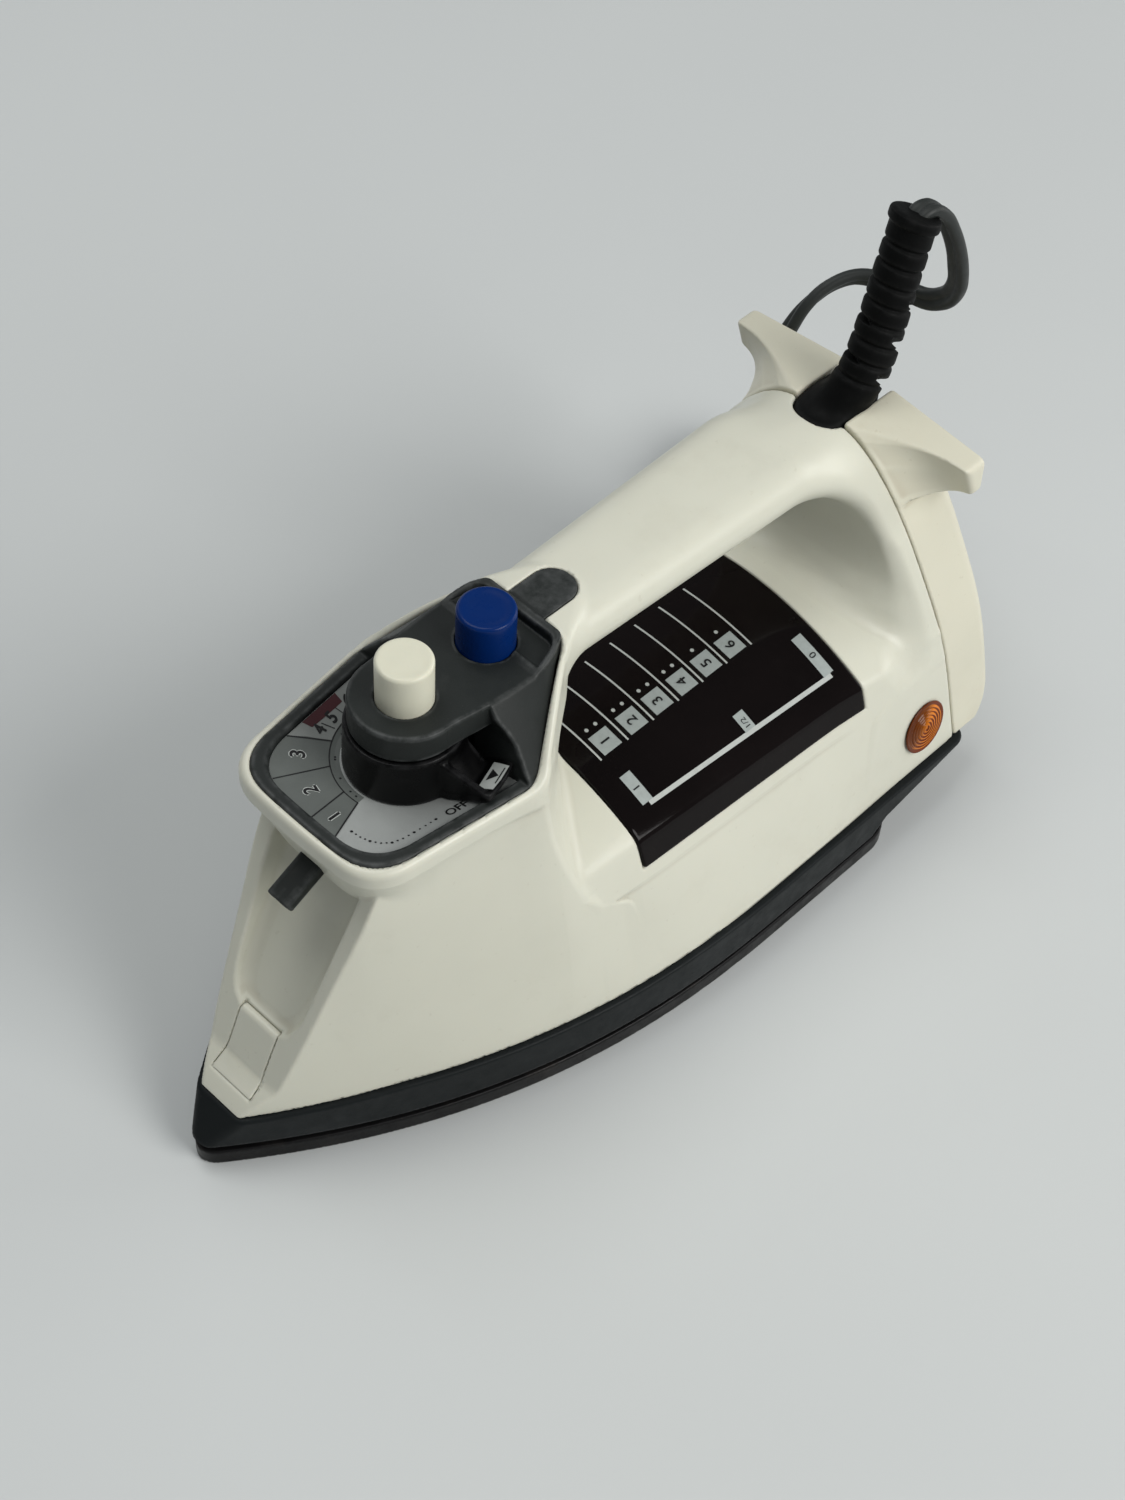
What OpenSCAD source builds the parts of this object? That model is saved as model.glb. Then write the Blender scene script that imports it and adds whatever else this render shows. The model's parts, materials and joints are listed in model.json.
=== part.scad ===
// Steam and spray iron with a hollow moulded housing, control platform and heel cover.
// All sizes in millimetres. +X runs from the nose to the heel, +Z is up, Z = 0 is the sole.

/* [Sole and skirt] */
// Length of the soleplate from tip to rear edge
sole_len = 210; // [206:1:212]
// Greatest half width of the soleplate
sole_hw = 54.5; // [54:0.25:55]
// Half width of the blunt tip
tip_hw = 2.4; // [2:0.1:3]
// Thickness of the soleplate's plate
sole_t = 5.5; // [5:0.25:6]
// Diameter of a steam vent
vent_d = 3.6; // [2.5:0.1:4]
// Height of the skirt's lower lip above the sole
lip_z = 8; // [7.6:0.1:8.4]

/* [Housing] */
// Wall thickness of the mouldings
wall = 3; // [2.8:0.1:3.2]
// Height of the handle's top face
handle_z = 123.4; // [123.2:0.1:123.6]
// Half width of the handle at its front
grip_hw = 15.5; // [15:0.25:16]
// Height of the saddle's crown under the handle
saddle_z = 75; // [74.5:0.25:75]

/* [Controls] */
// Distance of the dial and steam button axis from the nose
axis_a = 71.5; // [71:0.25:72]
// Distance of the spray button axis from the nose
axis_b = 97.5; // [97:0.25:98]
// Radius of the two push buttons
button_r = 7.6; // [7.2:0.1:7.8]
// Radius of the thermostat drum
drum_r = 15.3; // [15:0.1:15.5]
// Reach of the thermostat lever from its axis
lever_r = 23.6; // [21:0.1:23.7]
// Diameter of the amber lamp lens
lens_d = 17; // [15:0.5:17.5]

/* [Cord] */
// Length of the ribbed bend relief above the heel slot
boot_len = 52; // [50:1:53]
// Outer radius of the bend relief
boot_r = 6.8; // [6.5:0.1:7]
// Radius of a round section as bulky as the flat flex
cord_r = 2.4; // [2.2:0.1:2.5]

/* [Hidden] */
$fn = 48;

base_z = 20.5;               // joint plane of skirt and housing
x_mid = 122.75;              // nose to the middle of the overall length
rear_z0 = 20.5;
rest_ang = -67;              // direction of the thermostat lever at OFF

module at_mid() { translate([-x_mid, 0, 0]) children(); }

// ---- shape rules -------------------------------------------------------
function lerp(a, b, t) = a + (b - a) * t;
// half width of the sole outline
function sole_w(x) = tip_hw + (sole_hw - tip_hw) * (1 - pow(1 - min(max(x, 0), 160) / 160, 2.35));
// half width of the housing where it sits on the skirt
function base_w(x) = min(sole_w(x), sole_hw) - 1.2;
// heel plane and rear cover seam plane, both leaning
function heel_x(z) = 238 + (115 - z) * 0.0794;
function seam_x(z) = 217.5 + (120 - z) * 0.15;
// mirror a half outline into a closed ring, counterclockwise from above
function both(h) = concat([for (p = h) [p[0], -p[1]]], [for (i = [len(h) - 1:-1:0]) h[i]]);
// plan outline of the sole offset inward by d, ending at x1 with corner radius r
function plan(x0, x1, d, r, n = 26) = both(concat(
    [for (i = [0:n]) let (x = lerp(x0, x1 - r, pow(i / n, 1.6))) [x, max(sole_w(x) - d, 0.6)]],
    [for (a = [15:15:90]) [x1 - r + r * sin(a), sole_w(x1) - d - r + r * cos(a)]]));

module skin(rings) {
    n = len(rings[0]);
    m = len(rings);
    pts = [for (r = rings) for (p = r) p];
    polyhedron(pts, concat(
        [[for (i = [0:n - 1]) i]],
        [for (k = [0:m - 2]) for (i = [0:n - 1]) let (j = (i + 1) % n) [k * n + i, (k + 1) * n + i, (k + 1) * n + j]],
        [for (k = [0:m - 2]) for (i = [0:n - 1]) let (j = (i + 1) % n) [k * n + i, (k + 1) * n + j, k * n + j]],
        [[for (i = [n - 1:-1:0]) (m - 1) * n + i]]), convexity = 10);
}

// a round tube swept along route points, s sides
function unit(v) = v / norm(v);
function dir(p, i) = unit(p[min(i + 1, len(p) - 1)] - p[max(i - 1, 0)]);
module sweep(p, r, s = 8) {
    skin([for (i = [0:len(p) - 1]) let (t = dir(p, i),
        u = unit(cross(t, abs(t[2]) > 0.9 ? [0, 1, 0] : [0, 0, 1])), v = cross(t, u))
        [for (k = [0:s - 1]) p[i] + r * (u * cos(360 * k / s) + v * sin(360 * k / s))]]);
}
// a helical spring standing on z0
module coil(r, wire, z0, z1, turns, steps = 14, s = 6) {
    n = turns * steps;
    skin([for (i = [0:n]) let (a = 360 * i / steps, z = lerp(z0 + wire, z1 - wire, i / n))
        [for (k = [0:s - 1]) let (b = 360 * k / s)
            [(r + wire * cos(b)) * cos(a), (r + wire * cos(b)) * sin(a), z + wire * sin(b)]]]);
}
module bar(x0, x1, y0, y1, z0, z1) { translate([x0, y0, z0]) cube([x1 - x0, y1 - y0, z1 - z0]); }
// a profile in X and Z, extruded across Y
module side(pts, y0, y1) { translate([0, y1, 0]) rotate([90, 0, 0]) linear_extrude(y1 - y0) polygon(pts); }
// a profile in Y and Z, extruded along X
module cross_x(pts, x0, x1) { translate([x0, 0, 0]) rotate([90, 0, 90]) linear_extrude(x1 - x0) polygon(pts); }

// ---- soleplate group ----------------------------------------------------
el_y = 26;
el_x0 = 75;
el_x1 = 199;
el_z = 8.72;
el_r = 3.2;
module element_path(r) {
    for (s = [-1, 1]) translate([el_x0, s * el_y, el_z]) rotate([0, 90, 0]) cylinder(r = r, h = el_x1 - el_x0);
    translate([el_x0, 0, el_z]) rotate([0, 0, 90]) rotate_extrude(angle = 180) translate([el_y, 0]) circle(r);
}
vents = concat([for (s = [-1, 1]) for (x = [46:13:176]) [x, s * (sole_w(x) - 15.5)]], [[33, 0], [33, 8], [33, -8], [24, 0]]);

module soleplate() color([0.16, 0.16, 0.17]) at_mid() difference() {
    union() {
        linear_extrude(sole_t) polygon(plan(0, sole_len, 0, 12));
        translate([0, 0, sole_t]) linear_extrude(6.5) difference() {
            polygon(plan(16, 205, 6, 8));
            polygon(plan(22, 202, 9, 6));
        }
        translate([0, 0, sole_t]) linear_extrude(6.5) difference() {
            union() {
                translate([el_x0, -el_y - 5.5]) square([el_x1 - el_x0, 2 * el_y + 11]);
                translate([el_x0, 0]) circle(el_y + 5.5);
            }
            union() {
                translate([el_x0, -el_y + 5.5]) square([el_x1 - el_x0 + 1, 2 * el_y - 11]);
                translate([el_x0, 0]) circle(el_y - 5.5);
            }
        }
    }
    element_path(el_r);
    for (v = vents) translate([v[0], v[1], -1]) cylinder(d = vent_d, h = sole_t + 2, $fn = 24);
    for (s = [-1, 1]) translate([150, s * 40.5, sole_t + 0.5]) cylinder(r = 1.5, h = 9);
    translate([el_x1 - 4, -el_y, el_z]) cylinder(r = 2.5, h = 8);
    translate([el_x1 - 4, el_y, el_z]) cylinder(r = 2.5, h = 8);
}
module heating_element() color([0.55, 0.56, 0.58]) at_mid() {
    element_path(el_r);
    for (s = [-1, 1]) translate([el_x1 - 4, s * el_y, el_z]) cylinder(r = 2, h = 19);
}
module steam_chamber_cover() color([0.72, 0.73, 0.74]) at_mid() difference() {
    translate([0, 0, 12]) linear_extrude(1.5) polygon(plan(16, 205, 6, 8));
    for (s = [-1, 1]) translate([el_x1 - 4, s * el_y, 11]) cylinder(r = 3.4, h = 4);
    translate([axis_a, 0, 11]) cylinder(r = 5.05, h = 4);
    for (s = [-1, 1]) translate([150, s * 40.5, 11]) cylinder(r = 1.6, h = 4);
}
// charcoal band with a deck, its lip rising to a wedge under the heel
module skirt() color([0.17, 0.19, 0.21]) at_mid() difference() {
    union() {
        difference() {
            linear_extrude(base_z) polygon(plan(-0.5, 236, 0.5, 14, 30));
            translate([0, 0, -1]) linear_extrude(base_z + 2) polygon(plan(6, 232, 0.5 + wall, 11));
        }
        translate([0, 0, base_z - 2.5]) linear_extrude(2.5) polygon(plan(5, 233, 2, 12));
        for (s = [-1, 1]) translate([150, s * 40.5, 13.5]) cylinder(r = 4, h = 5);
    }
    translate([-20, -80, -1]) cube([300, 160, lip_z + 1]);
    side([[204, -1], [204, lip_z], [234, 19], [260, 19], [260, -1]], -80, 80);
    translate([axis_a, 0, 0]) cylinder(r = 18, h = 40);
    for (s = [-1, 1]) translate([el_x1 - 4, s * el_y, 0]) cylinder(r = 4.5, h = 40);
    for (s = [-1, 1]) translate([150, s * 40.5, 0]) cylinder(r = 1.6, h = 40);
    for (s = [-1, 1]) translate([150, s * 40.5, 18.6]) cylinder(r = 3.3, h = 4);
}
module skirt_screws() color([0.6, 0.6, 0.62]) at_mid() for (s = [-1, 1]) translate([150, s * 40.5, 0]) {
    translate([0, 0, 18.6]) cylinder(r = 3, h = 1.7);
    translate([0, 0, 6.2]) cylinder(r = 1.5, h = 12.4);
}

// ---- main housing --------------------------------------------------------
wall_u = [[7, 6.5], [13, 7.2], [20, 7.6], [29, 11.5], [41, 19], [60, 25], [75, 29], [90, 31.5], [116, 33]];
plat_w = [[35.2, 15.5], [36, 19.3], [38, 22.8], [41, 25.1], [46, 27], [60, 28.8], [86.4, 32.2], [116, 33]];
crease_x = [[20.5, 100], [40, 97], [59, 94.5], [75, 90], [84, 88], [98, 86.4], [104.5, 86.2]];
end_x = [[20.5, 116], [59, 113.5], [75, 112.5], [98, 111], [104.5, 111]];
end_w = [[59, 38.5], [67, 25], [75, 12], [98, 14.5], [104.5, 14.5]];
// half width of the side wall of the front body at x and height z
function side_w(x, z) = z <= 84 ? lerp(base_w(x), lookup(x, wall_u), (z - base_z) / 63.5)
    : lerp(lookup(x, wall_u), lookup(x, plat_w), pow(min((z - 84) / 16, 1), 1.5));
function front_w(x, z) = let (xk = lookup(z, crease_x)) x <= xk || z < 50 ? side_w(x, z)
    : lerp(side_w(xk, z), lookup(z, end_w), min((x - xk) / (lookup(z, end_x) - xk), 1));
function front_ring(x) = [for (p = both_yz(concat([for (z = [base_z, 40, 50, 59, 67, 75, 84, 88, 92, 95, 98, 101]) [front_w(x, z), z]],
    [[front_w(x, 104) - 0.8, 104.5], [0, 104.5]]))) [x, p[0], p[1]]];
module front_body() skin([for (x = [7.5, 13.5, 20, 28, 35.2, 36, 38, 41, 46, 53, 60, 70, 80, 86.4, 90, 94.5, 103, 108, 112, 116]) front_ring(x)]);

function both_yz(h) = concat([for (i = [0:len(h) - 1]) h[i]], [for (i = [len(h) - 2:-1:0]) [-h[i][0], h[i][1]]]);
function fold_z(x) = 58 - (x - 114) * 0.03;
function fold_y(x) = 40.6 + (x - 114) * 0.045;
function brow_z(x) = 65 - (x - 114) * 0.012;
function brow_y(x) = 38 + (x - 114) * 0.05;
function saddle_h(x, y) = saddle_z - (saddle_z - brow_z(x)) * pow(y / brow_y(x), 2);
// section of the saddle body at x
function mid_ring(x) = [for (p = both_yz(concat([[base_w(x) - 0.25, base_z], [fold_y(x), fold_z(x)]],
    [for (i = [6:-1:0]) let (y = brow_y(x) * i / 6) [y, saddle_h(x, y)]]))) [x, p[0], p[1]]];
module mid_body() skin([for (x = [110, 120, 135, 150, 170, 190, 212]) mid_ring(x)]);

tent = [[20.5, 53.3], [30, 51.9], [58, 46.4], [80, 37.8], [101, 27], [110, 20.5], [116, 14.5], [119, 8.5], [120.2, 0]];
function tent_ring(o, d, f) = [for (p = both_yz([for (q = tent) [max(q[1] - o - d, 0), q[0] - (q[0] > 100 ? o : (o > 0 && q[0] < 25 ? 2 : 0))]])) [f[0] + f[1] * (120 - p[1]), p[0], p[1]]];
// rear post between its scooped front face and the leaning seam plane
module rear_tent(o, x1) skin([tent_ring(o, -0.6, [198, 0]), tent_ring(o, -0.3, [210, 0.05]), tent_ring(o, 0, [x1, 0.15])]);

function grip_a(x) = grip_hw + (x - 112) * 0.035;
grip_top = [[100, handle_z], [194, handle_z], [206, 122.4], [214, 121.2], [222, 120.4]];
function grip_ring(x) = let (a = grip_a(x), zt = lookup(x, grip_top), zc = zt - 4.6, zb = 106)
    [for (k = [0:23]) let (t = 360 * k / 24, c = cos(t), s = sin(t), e = s >= 0 ? 2 / 2.8 : 2 / 1.7)
        [x, a * sign(c) * pow(abs(c), e), s >= 0 ? zc + (zt - zc) * pow(s, e) : zc - (zc - zb) * pow(-s, e)]];
module grip() skin([for (x = [107, 136, 156, 180, 194, 206, 214, 222]) grip_ring(x)]);

// bezel outline, and the platform recess that takes it
function bezel(o) = both([[37.8 + o, 12], [37.8 + o, 17], [39.2 + o, 20.6 - o * 0.7], [42 + o * 0.7, 23 - o], [47, 24.9 - o], [84 - o * 0.2, 29.6 - o],
    [86.4 - o * 0.4, 28.6 - o], [110.4 - o, 12.5 - o]]);
lens_p = [220, -51.1, 31.6];
module lens_axis() { translate(lens_p) rotate([90 - 14, 0, 0]) children(); }
// convex block through mirrored corner points
module block(pts) hull() polyhedron([for (s = [-1, 1]) for (p = pts) [p[0], s * p[1], p[2]]], [[for (i = [0:2 * len(pts) - 1]) i]]);

module main_housing() color([0.87, 0.86, 0.80]) at_mid() difference() {
    union() {
        difference() {
            union() {
                difference() {
                    front_body();
                    // sloping front of the trough's rims, and the hollow under the platform's brow
                    side([[-5, 27], [9.6, 27], [16.4, 27.1], [40.8, 81.4], [41.5, 86], [40, 92], [36.6, 97.5], [35.4, 101], [35.4, 110], [-5, 110]], -60, 60);
                }
                mid_body();
                intersection() {
                    rear_tent(0, 222);
                    side([[240, 10], [240, 130], [185, 130], [185, 108.9], [199, 107.2], [206, 103.5], [210.5, 97], [211.5, 90], [209.5, 82], [205, 76], [202, 72.5], [200.5, 68], [200.5, 10]], -60, 60);
                }
                grip();
                // shoulders rising from the platform's rear corners to the handle
                block([[86.6, 31.9, 97], [86.6, 31.9, 104.3], [86.6, 26, 104.3], [112.6, 15.1, 118.5], [112.6, 12.2, 122.9], [112.6, 14.4, 100], [100, 20, 97]]);
                // front root of the handle
                block([[109, 13, 99], [112.5, 13, 99], [112.5, 13, 117], [109, 13, 117], [109, 9, 73], [116, 9, 73]]);
                block([[109, 9, 86], [115, 9, 86], [109, 8, 112], [126, 7, 112], [124, 7, 109]]);
            }
            // hollow inside
            block([[34, 15, 17], [60, 28, 17], [98, 40, 17], [58, 14, 94.5], [64, 20, 94.5], [84, 25, 94.5], [96, 15, 94.5]]);
            block([[96, 39, 16], [100, 32, 55], [100, 8, 61.5], [118, 44, 16], [118, 34.5, 57], [118, 10, 70], [206, 46, 16], [206, 37, 56], [206, 10, 70]]);
            intersection() {
                rear_tent(wall, 226);
                side([[207, 15], [207, 70], [211, 75], [215, 86], [215.5, 95], [213, 105], [214.5, 114], [250, 114], [250, 15]], -60, 60);
            }
            bar(axis_b - 9.4, axis_b + 9.4, -10.6, 10.6, 58, 99.5);
            // wire channel in the handle
            block([[100, 6.5, 108], [100, 6.5, 117.5], [112, 5, 118.3], [112, 5, 111.3], [230, 5, 117.2], [230, 5, 111.3]]);
        }
        // screw bosses for the rear cover, on ribs to the walls
        for (s = [-1, 1]) {
            hull() { bar(211, 230, s * 26 - 4, s * 26 + 4, 70, 78); bar(205, 206, s * 26 - 4, s * 26 + 4, 65, 69); }
            hull() { bar(213, 234, s * 38 - 4, s * 38 + 4, 36, 44); bar(213, 216, s * 48.3 - 0.3, s * 48.3 + 0.3, 36, 44); }
        }
    }
    // leaning seam face
    hull() { translate([seam_x(126), -70, 126]) cube([60, 140, 0.1]); translate([seam_x(14), -70, 14]) cube([60, 140, 0.1]); }
    // filling trough under the platform
    block([[8, 9.2, 36.4], [26.6, 7.6, 36.4], [8, 9.8, 42], [31.3, 8.6, 42], [25, 14.9, 80.2], [49.4, 13.1, 80.2], [33, 11.5, 87.6], [49, 10.5, 87.6]]);
    // seat of the nose tile
    side([[9, 27.35], [24.8, 27.35], [24.8, 37], [9, 37]], -6.9, 6.9);
    // drain from the trough into the body
    bar(45, 60, -4.5, 4.5, 68, 76);
    // way for the wires through the web behind the tank
    bar(203, 210, -20, 20, 34, 46);
    // spray nozzle passage
    bar(40, 62, -3.75, 3.75, 81.35, 86.65);
    // platform recess and the openings below it
    translate([0, 0, 98]) linear_extrude(30) polygon(bezel(-0.15));
    translate([axis_a, 0, 88]) cylinder(r = 6.2, h = 14);
    // tongue seat on the handle
    translate([0, 0, handle_z - 1.6]) linear_extrude(5) union() { translate([105, -6.2]) square([20, 12.4]); translate([125, 0]) circle(6.2); }
    // window opening
    bar(win_x0, win_x1, -52, 52, 56.4, 75.35);
    // lamp lens hole
    lens_axis() cylinder(d = lens_d + 0.3, h = 14, center = true);
    // U slot for the bend relief
    boot_slot(8.35);
    for (s = [-1, 1]) for (q = [[26, 74], [38, 40]]) translate([210, s * q[0], q[1]]) rotate([0, 90, 0]) cylinder(r = 1.6, h = 40, $fn = 16);
}
module boot_slot(r) translate([0, 0, 96]) linear_extrude(30) union() { translate([219.3, 0]) circle(r); translate([219.3, -r]) square([40, 2 * r]); }
// tile at the foot of the trough, with a raised dam edge
module nose_cap() color([0.87, 0.86, 0.80]) at_mid()
    side([[9.7, 27.4], [24.6, 27.4], [24.6, 33], [23.6, 35.2], [22.4, 35.2], [9.7, 28.4]], -6.7, 6.7);

// ---- heel cover ------------------------------------------------------------
heel_w = [[20.5, 51.5], [30, 50.6], [58, 44.6], [80, 36], [101, 25.6], [110, 19.2], [115, 13.6], [117.4, 8.1], [118.4, 0]];
function heel_ring(T, o, f) = [for (p = both_yz([for (q = T) [max(q[1] - o, 0), q[0] - (q[0] > 100 ? o * 0.8 : (q[0] < 25 && o > 1 ? -3 : 0))]])) [f[0] + f[1] * (120 - p[1]), p[0], p[1]]];
module wing(s) hull() {
    bar(230.2, 237.2, min(s * 37.6, s * 39.8), max(s * 37.6, s * 39.8), 105.2, 114.9);
    bar(219.6, 237.2, min(s * 9.4, s * 13), max(s * 9.4, s * 13), 107, 117.6);
    bar(223.6, 237.4, min(s * 19, s * 21.5), max(s * 19, s * 21.5), 98.5, 112);
}
module rear_cover() color([0.87, 0.85, 0.77]) at_mid() difference() {
    union() {
        skin([heel_ring(tent, 0, [212, 0.15]), heel_ring(tent, 0.35, [230.5, 0.12]), heel_ring(heel_w, 0, [237.55, 0.0794])]);
        wing(1);
        wing(-1);
    }
    difference() {
        skin([heel_ring(tent, wall, [208, 0.15]), heel_ring(tent, wall + 0.45, [227, 0.12]), heel_ring(heel_w, wall, [234.6, 0.0794])]);
        // bosses on the back wall
        for (s = [-1, 1]) {
            hull() { bar(224.7, 226, s * 26 - 3.5, s * 26 + 3.5, 70.5, 77.5); bar(244, 245, s * 26 - 4, s * 26 + 4, 70, 78); }
            hull() { bar(229.8, 231, s * 38 - 3.5, s * 38 + 3.5, 36.5, 43.5); bar(248, 249, s * 38 - 4, s * 38 + 4, 36, 44); }
        }
    }
    // leaning seam face
    hull() { translate([seam_x(126) - 60, -70, 126]) cube([60.1, 140, 0.1]); translate([seam_x(14) - 60, -70, 14]) cube([60.1, 140, 0.1]); }
    // the U slot's floor is cut through, so the flex can pass down to its clamp
    boot_slot(8.35);
    for (s = [-1, 1]) { screw_hole(26 * s, 74); screw_hole(38 * s, 40); }
    // hollows under the wings that hold the wound cord
    for (s = [-1, 1]) hull() { translate([219, s * 36, 101]) sphere(5.5, $fn = 20); translate([224, s * 45, 108]) sphere(3, $fn = 16); translate([214, s * 36, 104]) sphere(5.5, $fn = 20); }
}
module screw_hole(y, z) { translate([200, y, z]) rotate([0, 90, 0]) cylinder(r = 1.8, h = 60, $fn = 16); translate([heel_x(z) - 4, y, z]) rotate([0, 90, 0]) cylinder(r = 3.6, h = 20, $fn = 20); }
module rear_cover_screws() color([0.6, 0.6, 0.62]) at_mid() for (s = [-1, 1]) for (q = [[26, 74], [38, 40]]) translate([heel_x(q[1]) - 4, s * q[0], q[1]]) rotate([0, 90, 0]) {
    cylinder(r = 3.2, h = 2);
    translate([0, 0, -22]) cylinder(r = 1.5, h = 22);
}

// ---- smoked window and tank ---------------------------------------------------
win_x0 = 114.2;
win_x1 = 195;
function win_edge(o) = let (x = 155) [for (i = [0:16]) let (t = i / 16, y = lerp(-40, 40, t)) [y * (1 - o / 42), 75.2 - 10.4 * pow(y / 40, 2) - o]];
module window_solid(o) {
    cross_x(concat([[-43.2, 56.4]], win_edge(0), [[43.2, 56.4], [40.4, 56.4]], [for (i = [16:-1:0]) win_edge(2.4)[i]], [[-40.4, 56.4]]), win_x0, win_x1);
}
module water_window() color([0.08, 0.06, 0.06]) at_mid() window_solid(0);
module water_tank() color([0.75, 0.8, 0.82, 0.6]) at_mid() difference() {
    translate([0, 0, base_z]) linear_extrude(33.5) union() {
        translate([115, -32]) square([70, 64]); translate([113, -30]) square([74, 60]);
        for (p = [[115, -30], [115, 30], [185, -30], [185, 30]]) translate(p) circle(2);
    }
    translate([0, 0, base_z + 2]) linear_extrude(29.5) translate([115, -30]) square([70, 60]);
    translate([105, 0, base_z + 6]) rotate([0, 90, 0]) cylinder(r = 2, h = 12);
    translate([119, 0, 48]) cylinder(r = 4, h = 10);
}
module water_feed_tube() color([0.8, 0.82, 0.84]) at_mid() translate([axis_a + 4.6, 0, base_z + 6]) rotate([0, 90, 0]) difference() {
    cylinder(r = 3.2, h = 113 - axis_a - 4.6);
    translate([0, 0, -1]) cylinder(r = 2, h = 60);
}

// ---- control cover, dial and buttons -----------------------------------------------
bridge_z = 123;
function bridge_half(o) = concat([for (a = [0:12:84]) [axis_a - (15 - o) * cos(a), (15 - o) * sin(a)]], [[80, 14.9 - o], [94, 16 - o], [104, 14.4 - o], [110.4 - o, 12.3 - o]]);
module control_cover() color([0.22, 0.23, 0.24]) at_mid() difference() {
    union() {
        translate([0, 0, 98.05]) linear_extrude(6.45) difference() { polygon(bezel(0)); polygon(bezel(3.8)); }
        translate([0, 0, 116.2]) linear_extrude(6.8) polygon(both(bridge_half(0)));
        // rear block that carries the bridge
        hull() {
            translate([0, 0, 98.05]) linear_extrude(6.4) polygon([[88, -27.2], [110.3, -12.3], [110.3, 12.3], [88, 27.2]]);
            translate([0, 0, 120]) linear_extrude(0.5) polygon([[89, -15.4], [94, -15.9], [104, -14.3], [110.3, -12.2], [110.3, 12.2], [104, 14.3], [94, 15.9], [89, 15.4]]);
        }
        // tongue lying in its seat on the handle
        translate([0, 0, handle_z - 1.6]) linear_extrude(1.6) union() { translate([109, -6]) square([16, 12]); translate([125, 0]) circle(6); }
    }
    // hollow of the rear block
    hull() {
        translate([0, 0, 97]) linear_extrude(7) polygon([[84, -24], [90, -24], [107.6, -10.5], [107.6, 10.5], [90, 24], [84, 24]]);
        translate([0, 0, 118.4]) linear_extrude(0.5) polygon([[84, -11], [104, -11], [107, -9], [107, 9], [104, 11], [84, 11]]);
    }
    translate([axis_a, 0, 90]) cylinder(r = button_r + 0.05, h = 50);
    translate([axis_b, 0, 90]) cylinder(r = button_r + 0.05, h = 50);
}
module dial_plate() color([0.75, 0.76, 0.76]) at_mid() difference() {
    translate([0, 0, 98.05]) linear_extrude(1.6) difference() { polygon(bezel(3.95)); translate([86, -40]) square([40, 80]); }
    translate([axis_a, 0, 90]) cylinder(r = 5.05, h = 20);
}
module thermostat_dial() color([0.05, 0.05, 0.055]) at_mid() translate([axis_a, 0, 0]) difference() {
    union() {
        translate([0, 0, 100]) cylinder(r = drum_r, h = 15.8);
        translate([0, 0, 45]) cylinder(r = 5, h = 56);
        rotate([0, 0, rest_ang]) {
            translate([0, 0, 100]) linear_extrude(2.6) intersection() { translate([0, -6.5]) square([30, 13]); circle(lever_r); }
            translate([0, -4, 100]) cube([18.5, 8, 8]);
        }
    }
    translate([0, 0, 40]) cylinder(r = 2.6, h = 90);
    translate([0, 0, 107]) cylinder(r = 8.6, h = 20);
}
module thermostat() color([0.62, 0.6, 0.55]) at_mid() translate([axis_a, 0, 0]) difference() {
    union() {
        translate([0, 0, 13.5]) cylinder(r = 15, h = 3);
        for (s = [-1, 1]) translate([-3, s * 10 - 2, 16]) cube([6, 4, 24]);
        translate([0, 0, 39]) cylinder(r = 12, h = 5);
    }
    cylinder(r = 7.6, h = 60);
    translate([0, -1.5, 17]) cube([20, 3, 1]);
}
module steam_button() color([0.90, 0.88, 0.80]) at_mid() translate([axis_a, 0, 0]) difference() {
    union() {
        translate([0, 0, 117.5]) cylinder(r = button_r, h = 16.3);
        rotate_extrude() translate([0, 133.79]) polygon([[0, 0], [button_r, 0], [button_r - 0.25, 0.5], [button_r - 0.9, 0.95], [0, 1.05]]);
    }
    translate([0, 0, 116]) cylinder(r = 2, h = 10);
    translate([0, 0, 116]) difference() { cylinder(r = button_r - 1.6, h = 13); cylinder(r = 4, h = 13); }
}
module steam_valve_rod() color([0.72, 0.73, 0.75]) at_mid() translate([axis_a, 0, 0]) {
    translate([0, 0, 16.5]) cylinder(r = 2, h = 109.5);
    translate([0, 0, 41.5]) cylinder(r = 4.6, h = 2);
}
module steam_spring() color([0.7, 0.7, 0.72]) at_mid() translate([axis_a, 0, 0]) coil(3.9, 0.45, 31.05, 41.45, 5);
module steam_valve_seat() color([0.75, 0.62, 0.32]) at_mid() translate([axis_a, 0, 0]) difference() {
    union() {
        translate([0, 0, 8]) cylinder(r = 5, h = 10);
        translate([0, 0, 13.5]) cylinder(r = 7.2, h = 17.5);
    }
    translate([0, 0, 10]) cylinder(r = 2.06, h = 30);
    translate([0, 0, 7]) cylinder(r = 1, h = 10);
    translate([4.6, 0, base_z + 6]) rotate([0, 90, 0]) cylinder(r = 3.2, h = 10);
    translate([0, 0, base_z + 6]) rotate([0, 90, 0]) cylinder(r = 1.2, h = 10);
}
module spray_button() color([0.03, 0.12, 0.52]) at_mid() translate([axis_b, 0, 0]) difference() {
    union() {
        translate([0, 0, 114.5]) cylinder(r = button_r, h = 16.6);
        rotate_extrude() translate([0, 131.09]) polygon([[0, 0], [button_r, 0], [button_r - 0.5, 0.6], [button_r - 1.2, 1.3], [0, 1.4]]);
    }
    translate([0, 0, 113]) cylinder(r = 4, h = 12);
    translate([0, 0, 113]) difference() { cylinder(r = button_r - 1.4, h = 14); cylinder(r = 5.6, h = 14); }
}
module spray_plunger() color([0.85, 0.85, 0.84]) at_mid() translate([axis_b, 0, 0]) {
    translate([0, 0, 84]) cylinder(r = 4, h = 41);
    translate([0, 0, 80]) cylinder(r = 4.95, h = 4.5);
}
module spray_spring() color([0.7, 0.7, 0.72]) at_mid() translate([axis_b, 0, 0]) coil(5.1, 0.45, 100.05, 114.45, 5);
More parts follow.
